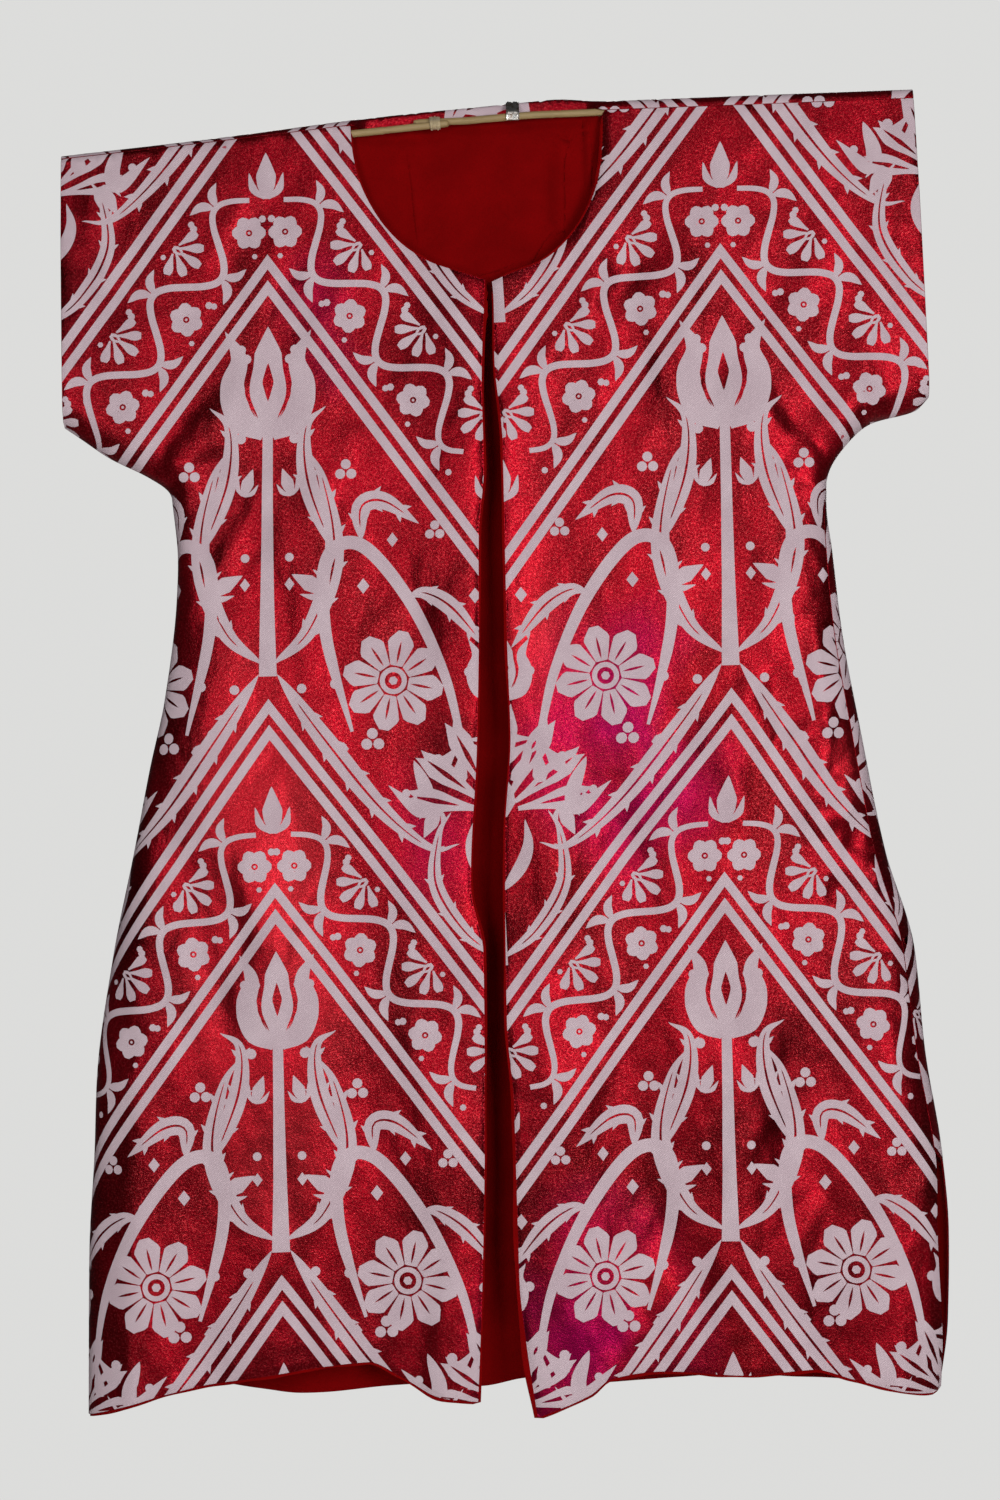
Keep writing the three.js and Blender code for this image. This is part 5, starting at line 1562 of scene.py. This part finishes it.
def setup_relief():
    for label in ("left", "right"):
        e = FRONT_EDGES[label]
        RELIEF[label] = make_relief(e, [e["shoulder"], e["side"], e["sleeve"]])
    b = BACK_EDGES
    RELIEF["back"] = make_relief({"hem": b["hem"], "cuff": np.vstack([b["cuff_l"]])}, [b["side_r"], b["side_l"], b["sleeve_l"], b["sleeve_r"]])


setup_relief()


def place_back_lining(p):
    at = place_back(p)
    x, w = p[:, 0], p[:, 1]
    inner = troughs([("in",) + r for r in INNER_CREASES], "in", x, w)
    room = 2.0 * smooth((w + 240) / 60) * smooth((150 - np.abs(x)) / 40)      # stands off the satin behind the neck
    at[:, 1] -= np.maximum(inner + laps(p) + room, 0) * smooth((start_z(x) - w) / 16)
    return at


def lines_of(panel, loop):
    return []


SHAPES = cloth_pattern()
MATS_OUTER = {"list": [RED_SATIN, WHITE_TWILL, SATIN_REVERSE], "inner": 2, "rim": 0}
MATS_LINING = {"list": [LINING_CLOTH], "inner": 0, "rim": 0}
PANELS = {}
for label in ("left", "right"):
    loop = front_loop(label)
    free = ("centre", "hem", "neck", "cuff")
    rows = clip_points(np.vstack([inward_rows(label), edge_grid(FRONT_EDGES[label], free, loop)]), loop)
    shapes = placed_shapes(label, SHAPES, loop)
    ob = sheet_shell(f"satin_front_{label}", loop, place_front, 1, flat_front(label), shapes, [], 7.0,
                     CLOTH["outer"], 0.0, MATS_OUTER, extra=rows, inner_extra=rows[::2])
    PANELS[f"front_{label}"] = ob
    loop = lining_loop(label)
    rows = clip_points(np.vstack([inward_rows(label)[::2], edge_grid(FRONT_EDGES[label], free, loop)]), loop)
    ob = sheet_shell(f"lining_front_{label}", loop, place_front, 1, flat_front(label), [], [], 9.0,
                     CLOTH["lining"], CLOTH["outer"] + CLOTH["between"], MATS_LINING, extra=rows, colours=False,
                     inner_extra=rows)
    PANELS[f"front_{label}_lining"] = ob
loop = back_loop()
rows = clip_points(np.vstack([inward_rows("left"), inward_rows("right", True), neck_grid(7.0),
                              edge_grid(BACK_EDGES, ("hem", "cuff_l", "cuff_r"), loop)]), loop)
shapes = placed_shapes("back", SHAPES, loop)
over = np.column_stack([BACK_EDGES["top"][:, 0], start_z(BACK_EDGES["top"][:, 0])])[1:-1]
steps = []
for f in np.linspace(0.08, 0.94, 11):
    tx = BACK_EDGES["top"][1:-1, 0]
    steps.append(np.column_stack([tx, start_z(tx) + over_length(tx) * f])[::2])
fold_line = evenly(OUTLINE["right"][OUTLINE["right"][:, 1] < -340], 5.0)[:-1]
ob = sheet_shell("satin_back", loop, place_back, -1, flat_back, shapes, [over, fold_line], 7.5, CLOTH["outer"], 0.0,
                 MATS_OUTER, extra=np.vstack([rows, clip_points(np.vstack(steps), loop)]), inner_extra=rows)
PANELS["back"] = ob
fine = neck_grid(3.2)
laps_at = lap_rows()
fine = fine[nearest_point(fine, laps_at) > 2.0]
steps = clip_points(np.vstack(steps), loop)
seen = np.vstack([rows, clip_points(np.vstack([fine, laps_at]), loop), steps])
ob = sheet_shell("lining_back", loop, place_back_lining, -1, flat_back, [], [over, fold_line], 11.0, CLOTH["lining"],
                 CLOTH["outer"] + CLOTH["between"], MATS_LINING, extra=np.vstack([rows, steps]), colours=False,
                 inner_grid=7.5, inner_extra=seen)
PANELS["back_lining"] = ob
for node, ob in PANELS.items():
    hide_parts(node)
    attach(ob, BODY)
    print("cloth", node, len(ob.data.vertices), "verts", len(ob.data.polygons), "faces")

# ============================================================ sticks, lashing, clip
def tube(name, pts, radii, sides, mat, squash=None, cap=True):
    """A round bar along points (mm), with its ends closed by a slight dome."""
    p = np.asarray(pts, float)
    r = np.asarray(radii, float)
    t = np.gradient(p, axis=0)
    t /= np.linalg.norm(t, axis=1)[:, None]
    u = np.cross([0, 0, 1.0], t[0])
    if np.linalg.norm(u) < 0.1:
        u = np.cross([0, 1.0, 0], t[0])
    u /= np.linalg.norm(u)
    verts, faces = [], []
    for i in range(len(p)):
        u = u - t[i] * (u @ t[i])
        u /= np.linalg.norm(u)
        w = np.cross(t[i], u)
        for k in range(sides):
            a = 2 * pi * k / sides
            rr = r[i] * (1 if squash is None else squash(p[i], a))
            verts.append(p[i] + rr * (u * cos(a) + w * sin(a)))
    n = len(p)
    for i in range(n - 1):
        for k in range(sides):
            m = (k + 1) % sides
            faces.append((i * sides + k, i * sides + m, (i + 1) * sides + m, (i + 1) * sides + k))
    if cap:
        verts += [p[0] - t[0] * r[0] * 0.25, p[-1] + t[-1] * r[-1] * 0.25]
        a, b = len(verts) - 2, len(verts) - 1
        for k in range(sides):
            m = (k + 1) % sides
            faces.append((a, m, k))
            faces.append((b, (n - 1) * sides + k, (n - 1) * sides + m))
    return build(name, np.array(verts), faces, None, [mat])


def stick(name, rows, seed, nodes):
    rng = np.random.default_rng(seed)
    x = np.arange(rows[0][0], rows[-1][0] + 0.1, 2.5)
    x = np.unique(np.concatenate([x, [r[0] for r in rows]]))
    y, z, r = (read(rows, 0, k, x) for k in (1, 2, 3))
    ph = rng.uniform(0, 6, 6)
    z = z + 0.22 * np.sin(x / 31 + ph[0]) + 0.10 * np.sin(x / 11 + ph[1]) + DATUM
    y = y + 0.12 * np.sin(x / 27 + ph[2])
    r = r * (1 + 0.018 * np.sin(x / 17 + ph[3]) + 0.012 * np.sin(x / 5.3 + ph[4]))
    for at in nodes:
        r = r + 0.26 * np.exp(-((x - at) / 1.5) ** 2) - 0.14 * np.exp(-((x - at - 3.4) / 2.0) ** 2)
    ridge = rng.uniform(0, 6, 3)

    def flute(p, a):
        return 1 + 0.012 * sin(5 * a + ridge[0] + p[0] / 60) + 0.010 * sin(3 * a + ridge[1]) + 0.006 * sin(11 * a + p[0] / 23)
    return tube(name, np.column_stack([x, y, z]), r, 28, REED, flute)


hardware = {}
hardware["stick_left"] = stick("reed_left", STICK_LEFT, 3, (-301, -171, -86))
hardware["stick_right"] = stick("reed_right", STICK_RIGHT, 4, (68, 214, 331))


def wound_lashing():
    """Thread wound eight times round both sticks, with one strand crossing over."""
    left, right = np.array([-3.47, -2.9]), np.array([3.4, 0.8])
    axis = right - left
    tilt = np.arctan2(axis[1], axis[0])
    gap = hypot(*axis)
    r = 3.98
    per = 2 * gap + 2 * pi * r

    def round_both(s, rr):
        s = s % per
        if s < pi * r:
            a = tilt - pi / 2 + s / r
            return right + rr * np.array([cos(a), sin(a)])
        s -= pi * r
        if s < gap:
            a = tilt + pi / 2
            return right + (left - right) * s / gap + rr * np.array([cos(a), sin(a)])
        s -= gap
        if s < pi * r:
            a = tilt + pi / 2 + s / r
            return left + rr * np.array([cos(a), sin(a)])
        s -= pi * r
        a = tilt - pi / 2
        return left + (right - left) * s / gap + rr * np.array([cos(a), sin(a)])

    rng = np.random.default_rng(8)
    turns, pts = 8, []
    wob = rng.uniform(-0.16, 0.16, turns + 2)
    for i in range(turns * 64 + 1):
        f = i / 64
        s = f * per
        x = -42.6 + 1.19 * f + np.interp(f, np.arange(turns + 2), wob)
        y, z = round_both(s, r + 0.10 * sin(f * 2.3))
        pts.append((x, y, z + DATUM))
    a = tube("thread_turns", pts, np.full(len(pts), 0.60), 10, THREAD)
    pts = []
    for i in range(97):                     # a slanting outer strand with its tucked end
        f = i / 64
        y, z = round_both(per * (f + 0.62), r + 0.92)
        pts.append((-41.6 + 5.6 * f, y, z + DATUM))
    b = tube("thread_over", pts, np.full(len(pts), 0.5), 10, THREAD)
    bpy.context.view_layer.objects.active = a
    for o in bpy.context.selected_objects:
        o.select_set(False)
    a.select_set(True)
    b.select_set(True)
    bpy.ops.object.join()
    a.name = "wound_lashing"
    return a


hardware["lashing"] = wound_lashing()


def folded_clip():
    """A strip of thin steel bent over the neck edge: worn, its top fold crumpled."""
    line = [(-4.3, -0.8), (-4.75, 2.0), (-4.6, 6.2), (-2.2, 10.5), (1.2, 13.2), (4.6, 15.6), (6.8, 17.3), (10.6, 17.9),
            (14.6, 16.6), (16.6, 14.0), (16.7, 9.5), (16.6, 5.0)]
    mid = evenly(path(line, 120), 0.7)
    t = np.gradient(mid, axis=0)
    t /= np.hypot(t[:, 0], t[:, 1])[:, None]
    nrm = np.column_stack([-t[:, 1], t[:, 0]])            # outward of the bend
    across = np.linspace(-5.9, 5.9, 25)
    rng = np.random.default_rng(12)
    ph = rng.uniform(0, 6, 8)
    n, m = len(mid), len(across)
    grids = []
    for side in (0, 1):
        g = np.empty((n, m, 3))
        for j, x in enumerate(across):
            rough = np.exp(-((mid[:, 0] - 5.0) / 6.5) ** 2) * (mid[:, 1] > 6)
            dent = rough * (0.42 * np.sin(x * 1.1 + ph[0] + mid[:, 0] * 0.5) + 0.30 * np.sin(x * 2.3 + ph[1] - mid[:, 0] * 0.9)
                            + 0.25 * np.sin(mid[:, 0] * 1.7 + ph[2]))
            lip = 0.55 * np.exp(-((5.9 - abs(x)) / 0.8) ** 2) * (mid[:, 1] < 7) * (mid[:, 0] < 0)
            edge = 0.30 * np.exp(-((5.9 - abs(x)) / 0.35) ** 2)
            off = dent + lip - edge * (1 if side == 0 else -1) * 0.5 - (0.8 if side else 0.0)
            g[:, j, 0] = 32.2 + x
            g[:, j, 1] = mid[:, 0] + nrm[:, 0] * off
            g[:, j, 2] = mid[:, 1] + nrm[:, 1] * off + DATUM
        grids.append(g)
    verts = np.vstack([grids[0].reshape(-1, 3), grids[1].reshape(-1, 3)])
    N = n * m
    faces = []
    for i in range(n - 1):
        for j in range(m - 1):
            a, b, c, d = i * m + j, i * m + j + 1, (i + 1) * m + j + 1, (i + 1) * m + j
            faces.append((a, b, c, d))
            faces.append((N + a, N + d, N + c, N + b))
    for i in range(n - 1):
        a, d = i * m, (i + 1) * m
        faces.append((a, d, N + d, N + a))
        a, d = i * m + m - 1, (i + 1) * m + m - 1
        faces.append((a, N + a, N + d, d))
    for j in range(m - 1):
        faces.append((j, N + j, N + j + 1, j + 1))
        a, b = (n - 1) * m + j, (n - 1) * m + j + 1
        faces.append((a, b, N + b, N + a))
    return build("folded_clip", verts, faces, None, [STEEL])


hardware["clip"] = folded_clip()
for node, ob in hardware.items():
    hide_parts(node)
    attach(ob, BODY)

# ============================================================ floor, light
def floor_disc():
    n, r = 96, 2150.0
    verts = [(0, 0, -1750.0)] + [(r * cos(2 * pi * k / n), r * sin(2 * pi * k / n), -1750.0) for k in range(n)]
    m = Mat("pale_floor")
    m.set(Base_Color=m.mix(m.noise(m.place(0.004)), (0.70, 0.69, 0.67), (0.76, 0.75, 0.73)), Roughness=0.85)
    ob = build("floor", np.array(verts), [(0, k + 1, (k + 1) % n + 1) for k in range(n)], None, [m.m], smooth_all=False)


floor_disc()


def area_light(name, at, aim, size, power, colour=(1, 1, 1)):
    d = bpy.data.lights.new(name, "AREA")
    d.shape, d.size, d.size_y = "RECTANGLE", size[0], size[1]
    d.energy, d.color = power, colour
    o = bpy.data.objects.new(name, d)
    o.location = at
    o.rotation_euler = (Vector(aim) - Vector(at)).to_track_quat("-Z", "Y").to_euler()
    scene.collection.objects.link(o)
    return o


area_light("key", (1.15, -2.9, -0.35), (0.0, 0, -0.65), (0.7, 1.3), 45)
area_light("second", (-0.85, -3.0, -0.35), (-0.05, 0, -0.65), (0.7, 1.3), 23)
area_light("front", (0.2, -3.0, 1.9), (0, 0, -0.5), (1.2, 0.8), 13)
area_light("low", (0.0, -3.2, -3.2), (0, 0, -0.8), (0.9, 0.6), 7)
area_light("behind", (0.3, 2.8, 0.3), (0, 0, -0.6), (1.6, 2.0), 55)
world = bpy.data.worlds.new("studio")
scene.world = world
world.use_nodes = True
nt = world.node_tree
bg = nt.nodes["Background"]
lp = nt.nodes.new("ShaderNodeLightPath")
mixn = nt.nodes.new("ShaderNodeMix")
mixn.data_type = "RGBA"
mixn.inputs["A"].default_value = (0.05, 0.05, 0.051, 1)
mixn.inputs["B"].default_value = (0.72, 0.72, 0.71, 1)
nt.links.new(lp.outputs["Is Camera Ray"], mixn.inputs["Factor"])
nt.links.new(mixn.outputs["Result"], bg.inputs["Color"])
bg.inputs["Strength"].default_value = 1.0
scene.view_settings.view_transform = "Standard"
scene.view_settings.look = "None"


bpy.context.view_layer.update()
